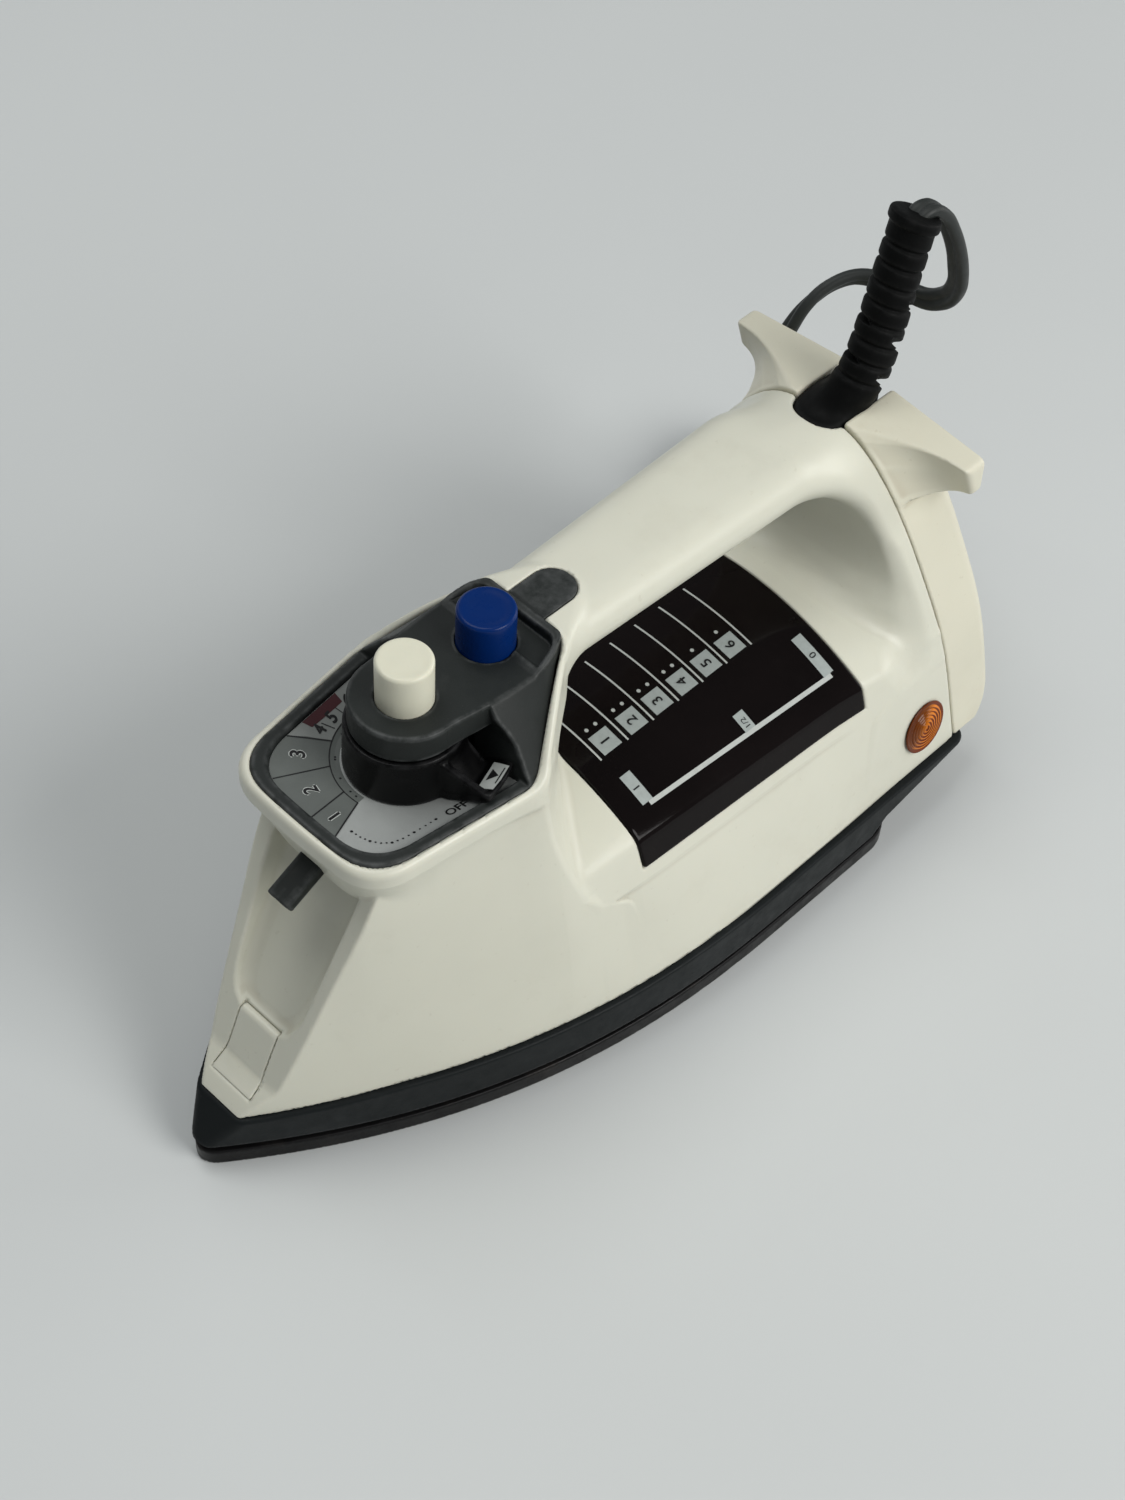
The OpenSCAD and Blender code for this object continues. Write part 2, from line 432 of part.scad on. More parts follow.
module spray_pump_cylinder() color([0.86, 0.86, 0.84]) at_mid() translate([axis_b, 0, 0]) difference() {
    union() {
        translate([0, 0, 66]) cylinder(r = 7.5, h = 34);
        bar(-8, 3, -14, 14, 98, 100);
    }
    translate([0, 0, 69]) cylinder(r = 5, h = 28);
    translate([0, 0, 96]) cylinder(r = 4.06, h = 10);
    translate([-12, 0, 72]) rotate([0, 90, 0]) cylinder(r = 1.4, h = 10);
}
module spray_tube() color([0.82, 0.84, 0.85]) at_mid() sweep([[axis_b - 7.6, 0, 72], [84, 3, 72], [80, 9, 74], [74, 11.5, 78], [66, 9, 82], [61, 3, 84], [58.1, 0, 84]], 1.6, 8);
module spray_nozzle() color([0.27, 0.27, 0.28]) at_mid() difference() {
    union() { bar(31.5, 58, -3.6, 3.6, 81.5, 86.5); bar(30, 33, -3.1, 3.1, 82, 86); }
    translate([29, 0, 84]) rotate([0, 90, 0]) cylinder(r = 0.8, h = 5, $fn = 16);
}

// ---- electrical parts -------------------------------------------------------------
module pilot_lens() color([0.85, 0.40, 0.05]) at_mid() lens_axis() {
    translate([0, 0, -4]) cylinder(d = lens_d, h = 4);
    rotate_extrude() polygon([[0, -0.5], [lens_d / 2, -0.5], [lens_d / 2, 0], [lens_d / 2 - 1.2, 0.7], [lens_d / 2 - 4, 1.3], [0, 1.7]]);
}
module pilot_lamp() color([0.9, 0.7, 0.4]) at_mid() lens_axis() {
    translate([0, 0, -15]) cylinder(r = 3, h = 11);
    translate([0, 0, -17]) cylinder(r = 3.6, h = 2.5);
}
module terminal_block() color([0.82, 0.80, 0.74]) at_mid() difference() {
    bar(212, 224, -13, 13, base_z, 34);
    for (y = [-8, 0, 8]) translate([218, y, 25]) cylinder(r = 2, h = 12);
}
module thermal_fuse() color([0.75, 0.75, 0.77]) at_mid() translate([203, 6, base_z + 2.4]) rotate([0, 90, 90]) { cylinder(r = 2.4, h = 9); translate([0, 0, -3]) cylinder(r = 0.8, h = 15); }
module lead_wires() color([0.75, 0.72, 0.62]) at_mid() {
    for (s = [-1, 1]) sweep([[el_x1 - 4, s * el_y, 28.3], [196, s * 25, 32], [200, s * 21, 37], [207, s * 15, 41], [214, s * 10, 40.5], [218, s * 8, 36], [218, s * 8, 27]], 1.3, 8);
    sweep([[227.4, 1.2, 92], [227, 1.8, 85], [226, 4, 77], [224, 6, 66], [222, 7, 52], [219, 3, 42], [218, 0, 35], [218, 0, 27]], 1.3, 8);
}
module cord_clamp() color([0.35, 0.36, 0.38]) at_mid() difference() {
    bar(221.5, 236.6, -11, 11, 86, 93);
    translate([227, 0, 80]) cylinder(r = 4.2, h = 20);
    for (s = [-1, 1]) translate([227, s * 8, 80]) cylinder(r = 1.4, h = 20);
}
// ribbed rubber bend relief rising out of the U slot
boot_p = [223.2, 0, 118.9];
boot_tilt = 26;
module cord_boot() color([0.03, 0.03, 0.03]) at_mid() {
    difference() {
        union() {
            translate([0, 0, 97]) linear_extrude(20.5) union() { translate([219, 0]) circle(8); translate([219, -8]) square([16, 16]); }
            translate([227, 0, 93]) cylinder(r = 4.1, h = 6);
            intersection() {
                translate([222, 0, 110]) sphere(12.2);
                translate([0, 0, 112]) linear_extrude(20) union() { translate([219, 0]) circle(8); translate([219, -8]) square([14, 16]); }
            }
            translate(boot_p) rotate([0, boot_tilt, 0]) {
                translate([0, 0, -6]) cylinder(r = boot_r - 0.8, h = boot_len + 6);
                for (k = [0:8]) translate([0, 0, 6 + k * 5.2]) cylinder(r = boot_r, h = 3.6);
            }
        }
        translate(boot_p) rotate([0, boot_tilt, 0]) translate([0, 0, 30]) cylinder(r = 3.6, h = 40);
    }
}

// ---- cord -------------------------------------------------------------------------
run_pts = [[243.8, 0, 161], [246.6, 0, 165.2], [250, -0.8, 166], [254, -2, 163], [257.5, -3, 157], [261.5, -3.6, 148.5], [265.5, -3, 139], [269, -1.4, 130.5],
    [271.6, 2.6, 122.5], [272, 8.4, 118], [270.5, 15, 117.8], [268, 21.5, 118.6], [263.5, 27, 119], [257, 30.5, 117.2], [250.5, 32.5, 112.8], [246.5, 34, 106],
    [245, 36, 97], [245.5, 39.5, 85], [247.5, 43.5, 71], [250.5, 47.5, 55], [254, 50.5, 38], [257.4, 52, 19.3]];
hank_c = [276, 37];
hank_l = 96;
hank_w = 44;
hank_h = 19.2;
lead_pts = [[254, 44, 3.4], [250, 48.5, 3.4], [246.5, 54, 3.6], [242.5, 59.5, 4.4], [238.5, 63.5, 5.8], [234, 66, 7.2]];
module cord_run() color([0.16, 0.16, 0.17]) at_mid() sweep(run_pts, cord_r, 8);
module hank_2d(o) { union() { translate([hank_c[0] - hank_w / 2 - o, hank_c[1] - hank_l / 2 + hank_w / 2]) square([hank_w + 2 * o, hank_l - hank_w]);
    for (s = [-1, 1]) translate([hank_c[0], hank_c[1] + s * (hank_l - hank_w) / 2]) circle(hank_w / 2 + o); } }
module cord_hank() color([0.16, 0.16, 0.17]) at_mid() linear_extrude(hank_h) difference() {
    hank_2d(0);
    translate([hank_c[0] - 15.2, hank_c[1] - 26]) square([30.4, 52]);
    for (s = [-1, 1]) translate([hank_c[0], hank_c[1] + s * 26]) circle(15.2);
}
module cord_tie() color([0.08, 0.08, 0.08]) at_mid() translate([hank_c[0] + 18.6, hank_c[1] - 24, 0]) difference() {
    translate([-4.7, 0, 0]) cube([9.4, 5, 20.6]);
    translate([-3.5, -1, -1]) cube([7, 7, 20.3]);
}
module cord_lead() color([0.16, 0.16, 0.17]) at_mid() sweep(lead_pts, cord_r, 8);
module cord_plug() color([0.10, 0.10, 0.105]) at_mid() difference() {
    union() {
        translate([206, 56.5, 0]) cube([22, 19, 14]);
        translate([228, 66, 7.2]) rotate([0, 90, 0]) cylinder(r1 = 6, r2 = 3.6, h = 6);
    }
    for (s = [-1, 1]) translate([200, 66 + s * 6.35 - 0.75, 4.05]) cube([10, 1.5, 6.3]);
}
module plug_blades() color([0.8, 0.72, 0.45]) at_mid() for (s = [-1, 1]) translate([189, 66 + s * 6.35 - 0.75, 4.05]) cube([21, 1.5, 6.3]);

soleplate();
heating_element();
steam_chamber_cover();
skirt();
main_housing();
nose_cap();
rear_cover();
water_window();
water_tank();
water_feed_tube();
control_cover();
dial_plate();
thermostat_dial();
thermostat();
steam_button();
steam_valve_rod();
steam_spring();
steam_valve_seat();
spray_button();
spray_plunger();
spray_spring();
spray_pump_cylinder();
spray_tube();
spray_nozzle();
pilot_lens();
pilot_lamp();
terminal_block();
thermal_fuse();
lead_wires();
cord_clamp();
rear_cover_screws();
skirt_screws();
cord_boot();
cord_run();
cord_hank();
cord_tie();
cord_lead();
cord_plug();
plug_blades();
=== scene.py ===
import math
import json

import bpy
import numpy as np
from mathutils import Matrix, Vector


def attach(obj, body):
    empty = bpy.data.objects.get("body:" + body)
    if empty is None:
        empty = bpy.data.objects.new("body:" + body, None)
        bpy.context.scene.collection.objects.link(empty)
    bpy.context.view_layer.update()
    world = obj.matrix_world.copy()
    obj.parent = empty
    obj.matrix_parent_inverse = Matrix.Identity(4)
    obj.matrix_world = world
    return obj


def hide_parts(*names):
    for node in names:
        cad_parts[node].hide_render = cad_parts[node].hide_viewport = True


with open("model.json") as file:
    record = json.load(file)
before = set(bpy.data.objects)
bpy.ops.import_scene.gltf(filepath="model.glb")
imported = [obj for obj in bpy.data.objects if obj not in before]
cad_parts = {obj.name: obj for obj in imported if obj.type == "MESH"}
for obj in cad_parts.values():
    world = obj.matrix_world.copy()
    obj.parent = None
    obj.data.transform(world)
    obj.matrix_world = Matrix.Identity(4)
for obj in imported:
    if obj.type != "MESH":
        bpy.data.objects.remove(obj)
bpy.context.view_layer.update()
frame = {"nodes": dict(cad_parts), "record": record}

# Shapes are written in millimetres from the tip of the sole; row() turns them into the frame's metres.
X_MID = 122.75


def row(v):
    v = np.asarray(v, float).reshape(-1, 3)
    return np.column_stack([v[:, 0] - X_MID, v[:, 1], v[:, 2]]) / 1000.0


def row1(v):
    return tuple(float(q) for q in row([v])[0])


# ------------------------------------------------------------------ camera
cam_data = bpy.data.cameras.new("camera")
cam = bpy.data.objects.new("camera", cam_data)
bpy.context.scene.collection.objects.link(cam)
cam_data.sensor_width = 36.0
cam_data.sensor_fit = "AUTO"
cam_data.lens = 36.0 * 2560.0 / 1500.0
cam_data.clip_start = 0.02
right = Vector((0.7001, -0.7128, 0.0426)).normalized()
back = Vector((-0.4763, -0.4217, 0.7715)).normalized()
up = back.cross(right).normalized()
right = up.cross(back).normalized()
pos = row1((-188.7, -279.6, 567.5))
m = Matrix.Identity(4)
for i in range(3):
    m[i][0], m[i][1], m[i][2], m[i][3] = right[i], up[i], back[i], pos[i]
cam.matrix_world = m
bpy.context.scene.camera = cam
bpy.context.scene.view_settings.view_transform = "Standard"


# ------------------------------------------------------------------ mesh helpers
def smin(a, b, k):
    h = np.clip(0.5 + 0.5 * (b - a) / k, 0.0, 1.0)
    return b + (a - b) * h - k * h * (1.0 - h)


def smax(a, b, k):
    h = np.clip(0.5 - 0.5 * (b - a) / k, 0.0, 1.0)
    return b + (a - b) * h + k * h * (1.0 - h)


def curve(pts, n=900):
    """Smooth monotone curve through (t, value) points."""
    p = np.array(pts, float)
    x, y = p[:, 0], p[:, 1]
    h = np.diff(x)
    d = np.diff(y) / h
    s = np.zeros(len(x))
    s[0], s[-1] = d[0], d[-1]
    for i in range(1, len(x) - 1):
        if d[i - 1] * d[i] > 0:
            a, b = 2 * h[i] + h[i - 1], h[i] + 2 * h[i - 1]
            s[i] = (a + b) / (a / d[i - 1] + b / d[i])
    xs = np.linspace(x[0], x[-1], n)
    k = np.clip(np.searchsorted(x, xs) - 1, 0, len(x) - 2)
    t = (xs - x[k]) / h[k]
    ys = (
        (2 * t**3 - 3 * t**2 + 1) * y[k]
        + (t**3 - 2 * t**2 + t) * h[k] * s[k]
        + (-2 * t**3 + 3 * t**2) * y[k + 1]
        + (t**3 - t**2) * h[k] * s[k + 1]
    )
    return lambda v: np.interp(v, xs, ys)


def nets(v, lo, h):
    """Surface of a sampled field, as points and quads."""
    s = v < 0
    c = np.zeros(tuple(n - 1 for n in v.shape), np.int8)
    for dx in (0, 1):
        for dy in (0, 1):
            for dz in (0, 1):
                c += s[dx : v.shape[0] - 1 + dx, dy : v.shape[1] - 1 + dy, dz : v.shape[2] - 1 + dz]
    act = (c > 0) & (c < 8)
    idx = np.full(act.shape, -1, np.int64)
    I, J, K = np.nonzero(act)
    idx[I, J, K] = np.arange(len(I))
    pos = np.zeros((len(I), 3))
    cnt = np.zeros(len(I))
    corners = [(a, b, d) for a in (0, 1) for b in (0, 1) for d in (0, 1)]
    for a in corners:
        for ax in range(3):
            if a[ax]:
                continue
            b = list(a)
            b[ax] = 1
            va = v[I + a[0], J + a[1], K + a[2]]
            vb = v[I + b[0], J + b[1], K + b[2]]
            hit = (va < 0) != (vb < 0)
            t = np.where(hit, va / np.where(hit, va - vb, 1), 0)
            for q in range(3):
                pos[:, q] += np.where(hit, a[q] + (t if q == ax else 0), 0)
            cnt += hit
    pos = (pos / cnt[:, None] + np.column_stack([I, J, K])) * h + np.asarray(lo)
    quads = []
    for ax in range(3):
        n = list(v.shape)
        o = [(ax + 1) % 3, (ax + 2) % 3]
        sl0, sl1 = [slice(None)] * 3, [slice(None)] * 3
        sl0[ax], sl1[ax] = slice(0, n[ax] - 1), slice(1, n[ax])
        for q in o:
            sl0[q] = sl1[q] = slice(1, n[q] - 1)
        a, b = s[tuple(sl0)], s[tuple(sl1)]
        E = np.argwhere(a != b)
        E[:, o[0]] += 1
        E[:, o[1]] += 1
        inside_first = s[E[:, 0], E[:, 1], E[:, 2]]
        e0, e1 = np.zeros(3, int), np.zeros(3, int)
        e0[o[0]], e1[o[1]] = 1, 1
        ring = [E - e0 - e1, E - e1, E, E - e0]
        q = np.column_stack([idx[r[:, 0], r[:, 1], r[:, 2]] for r in ring])
        q[~inside_first] = q[~inside_first][:, ::-1]
        quads.append(q)
    return pos, np.concatenate(quads)


def grad(f, p, e):
    g = np.empty_like(p)
    for a in range(3):
        d = np.zeros(3)
        d[a] = e
        q, r = p + d, p - d
        g[:, a] = (f(q[:, 0], q[:, 1], q[:, 2]) - f(r[:, 0], r[:, 1], r[:, 2])) / (2 * e)
    return g


def sculpt(f, lo, hi, h, mirror=False):
    """Mesh of the solid f(x, y, z) < 0: points, quads, normals and how sharp each point's edge is."""
    lo, hi = np.array(lo, float), np.array(hi, float)
    ax = [lo[i] + h * np.arange(int(math.ceil((hi[i] - lo[i]) / h)) + 1) for i in range(3)]
    if mirror:
        ny = int(math.ceil(hi[1] / h)) + 1
        yh = h * (np.arange(ny) + 0.5)
        half = np.asarray(f(ax[0][:, None, None], yh[None, :, None], ax[2][None, None, :]), np.float32)
        half = np.broadcast_to(half, (len(ax[0]), ny, len(ax[2])))
        v = np.concatenate([half[:, ::-1], half], axis=1)
        lo = np.array([lo[0], -yh[-1], lo[2]])
    else:
        v = np.asarray(f(ax[0][:, None, None], ax[1][None, :, None], ax[2][None, None, :]), np.float32)
        v = np.broadcast_to(v, tuple(len(a) for a in ax))
    p, q = nets(v, lo, h)
    for _ in range(4):
        g = grad(f, p, 0.12 * h)
        d = f(p[:, 0], p[:, 1], p[:, 2]) / np.maximum((g * g).sum(1), 0.05)
        step = g * d[:, None]
        n = np.linalg.norm(step, axis=1)
        step *= np.minimum(1.0, 0.5 * h / np.maximum(n, 1e-9))[:, None]
        p = p - step
    g = grad(f, p, 0.35 * h)
    n = g / np.maximum(np.linalg.norm(g, axis=1), 1e-9)[:, None]
    # how convex the surface is about each point, from the field a little above and below it
    e = 1.1
    lap = -6.0 * f(p[:, 0], p[:, 1], p[:, 2])
    for a in range(3):
        d = np.zeros(3)
        d[a] = e
        lap += f(*(p + d).T) + f(*(p - d).T)
    return p, q, n, lap / (e * e)


def mesh_obj(name, verts, faces, mats, smooth=True, normals=None, slots=None):
    """An object from points in millimetres and a list or array of faces."""
    me = bpy.data.meshes.new(name)
    v = row(verts)
    if isinstance(faces, np.ndarray):
        me.vertices.add(len(v))
        me.vertices.foreach_set("co", v.astype(np.float32).ravel())
        n, w = faces.shape
        me.loops.add(n * w)
        me.loops.foreach_set("vertex_index", faces.astype(np.int32).ravel())
        me.polygons.add(n)
        me.polygons.foreach_set("loop_start", np.arange(0, n * w, w, dtype=np.int32))
        me.polygons.foreach_set("loop_total", np.full(n, w, np.int32))
        me.update(calc_edges=True)
    else:
        me.from_pydata([tuple(q) for q in v], [], faces)
    me.validate()
    for q in mats if isinstance(mats, (list, tuple)) else [mats]:
        me.materials.append(q)
    if slots is not None:
        me.polygons.foreach_set("material_index", np.asarray(slots, np.int32))
    me.polygons.foreach_set("use_smooth", np.full(len(me.polygons), bool(smooth)))
    if normals is not None:
        me.normals_split_custom_set_from_vertices(np.asarray(normals, np.float32))
    me.update()
    ob = bpy.data.objects.new(name, me)
    bpy.context.scene.collection.objects.link(ob)
    return ob


def settle(ob, body, nodes=()):
    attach(ob, body)
    if nodes:
        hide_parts(*nodes)
    return ob


def solid(name, f, lo, hi, h, mats, body="iron", nodes=(), mirror=False):
    p, q, n, sharp = sculpt(f, lo, hi, h, mirror)
    ob = mesh_obj(name, p, q, mats, True, n)
    # convexity at each point: the materials lighten convex edges with it (edge wear and painted highlight) and darken
    # concave ones (painted shade)
    a = ob.data.attributes.new("edge", "FLOAT", "POINT")
    a.data.foreach_set("value", np.clip(sharp, -2, 2).astype(np.float32))
    return settle(ob, body, nodes)


def lathe(name, prof, centre, axis, mats, seg=72, body="iron", nodes=(), slots=None, angle=None):
    """A turned piece: profile of (radius, height) points about an axis."""
    axis = Vector(axis).normalized()
    u = axis.orthogonal().normalized()
    w = axis.cross(u)
    c = Vector(centre)
    verts, faces, sl = [], [], []
    for r, z in prof:
        for i in range(seg):
            t = 2 * math.pi * i / seg
            verts.append(c + axis * z + (u * math.cos(t) + w * math.sin(t)) * max(r, 1e-4))
    for j in range(len(prof) - 1):
        for i in range(seg):
            k = (i + 1) % seg
            faces.append((j * seg + i, j * seg + k, (j + 1) * seg + k, (j + 1) * seg + i))
            sl.append(slots[j] if slots else 0)
    ob = mesh_obj(name, verts, np.array(faces), mats, True, None, sl)
    if angle:
        auto(ob, angle)
    return settle(ob, body, nodes)


def auto(ob, deg):
    """Sharp shading across edges steeper than deg."""
    me = ob.data
    me.polygons.foreach_set("use_smooth", np.ones(len(me.polygons), bool))
    me.set_sharp_from_angle(angle=math.radians(deg))


def rounded(pts, r, n=4):
    """A polyline of (radius, height) points with its inner corners rounded."""
    out = [pts[0]]
    for a, b, c in zip(pts, pts[1:], pts[2:]):
        a, b, c = (np.array(q, float) for q in (a, b, c))
        la, lc = np.linalg.norm(a - b), np.linalg.norm(c - b)
        d = min(r, la * 0.45, lc * 0.45)
        p0, p1 = b + (a - b) / la * d, b + (c - b) / lc * d
        for i in range(n + 1):
            t = i / n
            out.append(tuple((1 - t) ** 2 * p0 + 2 * t * (1 - t) * b + t * t * p1))
    out.append(pts[-1])
    return out


# ------------------------------------------------------------------ materials
def material(name, color, rough, var=0.05, var_scale=45, rvar=0.06, rscale=160, bump=0.05, bscale=1400,
             metal=0.0, coat=0.0, coat_rough=0.08, spec=0.5, grime=None, grime_amt=0.0, grime_scale=22,
             edge=None, edge_amt=0.0, crease_shade=None, crease_shade_amt=0.0, scratch=0.0, sss=0.0, trans=0.0, ior=1.46,
             painted_shade_layer=None, emission=None):
    mt = bpy.data.materials.new(name)
    mt.use_nodes = True
    nt = mt.node_tree
    N, L = nt.nodes, nt.links
    bs = N["Principled BSDF"]
    bs.inputs["Metallic"].default_value = metal
    bs.inputs["Coat Weight"].default_value = coat
    bs.inputs["Coat Roughness"].default_value = coat_rough
    bs.inputs["Specular IOR Level"].default_value = spec
    bs.inputs["IOR"].default_value = ior
    bs.inputs["Transmission Weight"].default_value = trans
    if sss:
        bs.inputs["Subsurface Weight"].default_value = sss
        bs.inputs["Subsurface Radius"].default_value = (0.0025, 0.0018, 0.0012)
        bs.inputs["Subsurface Scale"].default_value = 1.0
    tc = N.new("ShaderNodeTexCoord")

    def noise(scale, detail=4.0, rough_=0.55, stretch=None):
        n = N.new("ShaderNodeTexNoise")
        n.inputs["Scale"].default_value = scale
        n.inputs["Detail"].default_value = detail
        n.inputs["Roughness"].default_value = rough_
        if stretch:
            mp = N.new("ShaderNodeMapping")
            mp.inputs["Scale"].default_value = stretch
            L.new(tc.outputs["Object"], mp.inputs["Vector"])
            L.new(mp.outputs["Vector"], n.inputs["Vector"])
        else:
            L.new(tc.outputs["Object"], n.inputs["Vector"])
        return n

    def ramp(src, stops):
        r = N.new("ShaderNodeValToRGB")
        els = r.color_ramp.elements
        while len(els) < len(stops):
            els.new(0.5)
        for e, (p, c) in zip(els, stops):
            e.position = p
            e.color = c if len(c) == 4 else (*c, 1)
        L.new(src, r.inputs["Fac"])
        return r.outputs["Color"]

    def mix(fac, a, b, amount=1.0):
        mx = N.new("ShaderNodeMix")
        mx.data_type = "RGBA"
        if amount != 1.0:
            k = N.new("ShaderNodeMath")
            k.operation = "MULTIPLY"
            L.new(fac, k.inputs[0])
            k.inputs[1].default_value = amount
            fac = k.outputs[0]
        L.new(fac, mx.inputs[0])
        for sock, val in ((mx.inputs[6], a), (mx.inputs[7], b)):
            if hasattr(val, "is_output"):
                L.new(val, sock)
            else:
                sock.default_value = val if len(val) == 4 else (*val, 1)
        return mx.outputs[2]

    c = np.array(color)
    base = ramp(noise(var_scale, 6).outputs["Fac"],
                [(0.28, tuple(np.clip(c * (1 - var), 0, 1))), (0.5, tuple(c)), (0.75, tuple(np.clip(c * (1 + var * 0.7), 0, 1)))])
    # painted shade laid over the base colour, where a material is given one
    if painted_shade_layer:
        base = painted_shade_layer(N, L, tc, base, ramp, mix)
    if grime is not None and grime_amt:
        g = ramp(noise(grime_scale, 8, 0.68).outputs["Fac"], [(0.56, (0, 0, 0)), (0.74, (1, 1, 1))])
        base = mix(g, base, grime, grime_amt)
        sp = ramp(noise(grime_scale * 26, 2, 0.5).outputs["Fac"], [(0.70, (0, 0, 0)), (0.76, (1, 1, 1))])
        base = mix(sp, base, grime, grime_amt * 0.9)
    if edge is not None or crease_shade is not None:
        at = N.new("ShaderNodeAttribute")
        at.attribute_name = "edge"
        br = noise(300, 5, 0.6)
        # edge: lighter colour on convex edges, broken up by noise: edge wear and painted highlight
        if edge is not None:
            e1 = ramp(at.outputs["Fac"], [(0.18, (0, 0, 0)), (0.75, (1, 1, 1))])
            e2 = ramp(br.outputs["Fac"], [(0.35, (0, 0, 0)), (0.65, (1, 1, 1))])
            e3 = mix(e1, (0, 0, 0), e2)
            base = mix(e3, base, edge, edge_amt)
        # painted shade: darker colour on concave points, in creases and hollows
        if crease_shade is not None:
            neg = N.new("ShaderNodeMath")
            neg.operation = "MULTIPLY"
            L.new(at.outputs["Fac"], neg.inputs[0])
            neg.inputs[1].default_value = -1.0
            c1 = ramp(neg.outputs[0], [(0.08, (0, 0, 0)), (0.6, (1, 1, 1))])
            base = mix(c1, base, crease_shade, crease_shade_amt)
    L.new(base, bs.inputs["Base Color"])
    mr = N.new("ShaderNodeMapRange")
    mr.inputs["From Min"].default_value = 0.3
    mr.inputs["From Max"].default_value = 0.7
    mr.inputs["To Min"].default_value = max(0.02, rough - rvar)
    mr.inputs["To Max"].default_value = min(1.0, rough + rvar)
    L.new(noise(rscale, 5, 0.6).outputs["Fac"], mr.inputs["Value"])
    rough_out = mr.outputs["Result"]
    if scratch:
        sc = ramp(noise(260, 3, 0.5, (1.0, 14.0, 6.0)).outputs["Fac"], [(0.66, (0, 0, 0)), (0.71, (1, 1, 1))])
        ad = N.new("ShaderNodeMath")
        ad.operation = "MULTIPLY_ADD"
        ad.use_clamp = True
        L.new(sc, ad.inputs[0])
        ad.inputs[1].default_value = scratch
        L.new(rough_out, ad.inputs[2])
        rough_out = ad.outputs[0]
    L.new(rough_out, bs.inputs["Roughness"])
    if bump:
        bp = N.new("ShaderNodeBump")
        bp.inputs["Strength"].default_value = bump
        bp.inputs["Distance"].default_value = 0.0004
        L.new(noise(bscale, 3, 0.5).outputs["Fac"], bp.inputs["Height"])
        L.new(bp.outputs["Normal"], bs.inputs["Normal"])
    return mt


# edge= lightens convex edges (edge wear and painted highlight)
IVORY = (0.655, 0.648, 0.550)
# the ivory parts get painted shade in their creases (the crease darkening)
M_ivory = material("ivory", IVORY, 0.36, var=0.035, var_scale=26, rvar=0.07, rscale=120, bump=0.035, bscale=1500,
                   grime=(0.40, 0.36, 0.27), grime_amt=0.16, grime_scale=20, edge=(0.74, 0.71, 0.62), edge_amt=0.25,
                   crease_shade=(0.42, 0.38, 0.29), crease_shade_amt=0.35, scratch=0.10, sss=0.04)
M_warm = material("ivory_warm", (0.665, 0.640, 0.520), 0.38, var=0.04, var_scale=28, rvar=0.07, rscale=120, bump=0.035, bscale=1500,
                  grime=(0.42, 0.36, 0.24), grime_amt=0.22, grime_scale=24, edge=(0.72, 0.68, 0.56), edge_amt=0.25,
                  crease_shade=(0.44, 0.38, 0.27), crease_shade_amt=0.4, scratch=0.08, sss=0.04)
M_cap = material("ivory_cap", (0.70, 0.685, 0.555), 0.34, var=0.03, var_scale=80, rvar=0.05, bump=0.03, bscale=1800,
                 grime=(0.45, 0.40, 0.28), grime_amt=0.14, grime_scale=60, sss=0.05)
M_charcoal = material("charcoal", (0.0085, 0.0105, 0.0112), 0.46, spec=0.15, var=0.16, var_scale=50, rvar=0.08, rscale=240, bump=0.07, bscale=1700,
                      grime=(0.10, 0.105, 0.11), grime_amt=0.10, grime_scale=45, scratch=0.14)
M_sole = material("sole_dark", (0.012, 0.0115, 0.012), 0.40, spec=0.3, var=0.25, var_scale=70, rvar=0.12, rscale=200, bump=0.10, bscale=900,
                  metal=0.55, grime=(0.10, 0.085, 0.07), grime_amt=0.25, grime_scale=60, scratch=0.2)
M_smoked = material("smoked", (0.0060, 0.0042, 0.0042), 0.07, var=0.35, var_scale=18, rvar=0.035, rscale=90, bump=0.012, bscale=500,
                    coat=0.04, coat_rough=0.04, spec=0.11, grime=(0.05, 0.045, 0.042), grime_amt=0.05, grime_scale=60, scratch=0.05)
M_grey = material("dark_grey", (0.0150, 0.0176, 0.0168), 0.46, spec=0.26, var=0.10, var_scale=70, rvar=0.07, rscale=320, bump=0.09, bscale=2600,
                  edge=(0.13, 0.135, 0.135), edge_amt=0.38, grime=(0.10, 0.10, 0.095), grime_amt=0.10, grime_scale=60, scratch=0.08)
M_silver = material("silver", (0.40, 0.415, 0.405), 0.36, var=0.05, var_scale=140, rvar=0.06, rscale=600, bump=0.03, bscale=3000, metal=0.25)
M_sector = material("sector_grey", (0.115, 0.125, 0.118), 0.42, var=0.06, var_scale=160, rvar=0.05, bump=0.03, bscale=3000)
M_sector2 = material("sector_light", (0.235, 0.245, 0.235), 0.42, var=0.06, var_scale=160, rvar=0.05, bump=0.03, bscale=3000)
M_red = material("scale_red", (0.055, 0.008, 0.012), 0.42, var=0.12, var_scale=160, rvar=0.05, bump=0.03, bscale=3000)
M_ink = material("ink_black", (0.010, 0.010, 0.011), 0.45, var=0.2, var_scale=500, rvar=0.06, bump=0.02, bscale=3000)
M_white = material("ink_light", (0.47, 0.49, 0.47), 0.45, var=0.08, var_scale=500, rvar=0.06, bump=0.02, bscale=3000)
M_box = material("ink_box", (0.35, 0.385, 0.375), 0.42, var=0.10, var_scale=700, rvar=0.06, bump=0.02, bscale=3000)
M_black = material("gloss_black", (0.0018, 0.0018, 0.0020), 0.32, spec=0.13, var=0.2, var_scale=80, rvar=0.08, rscale=260, bump=0.03, bscale=2000,
                   edge=(0.05, 0.05, 0.052), edge_amt=0.3, grime=(0.05, 0.05, 0.05), grime_amt=0.10, grime_scale=70, scratch=0.08)
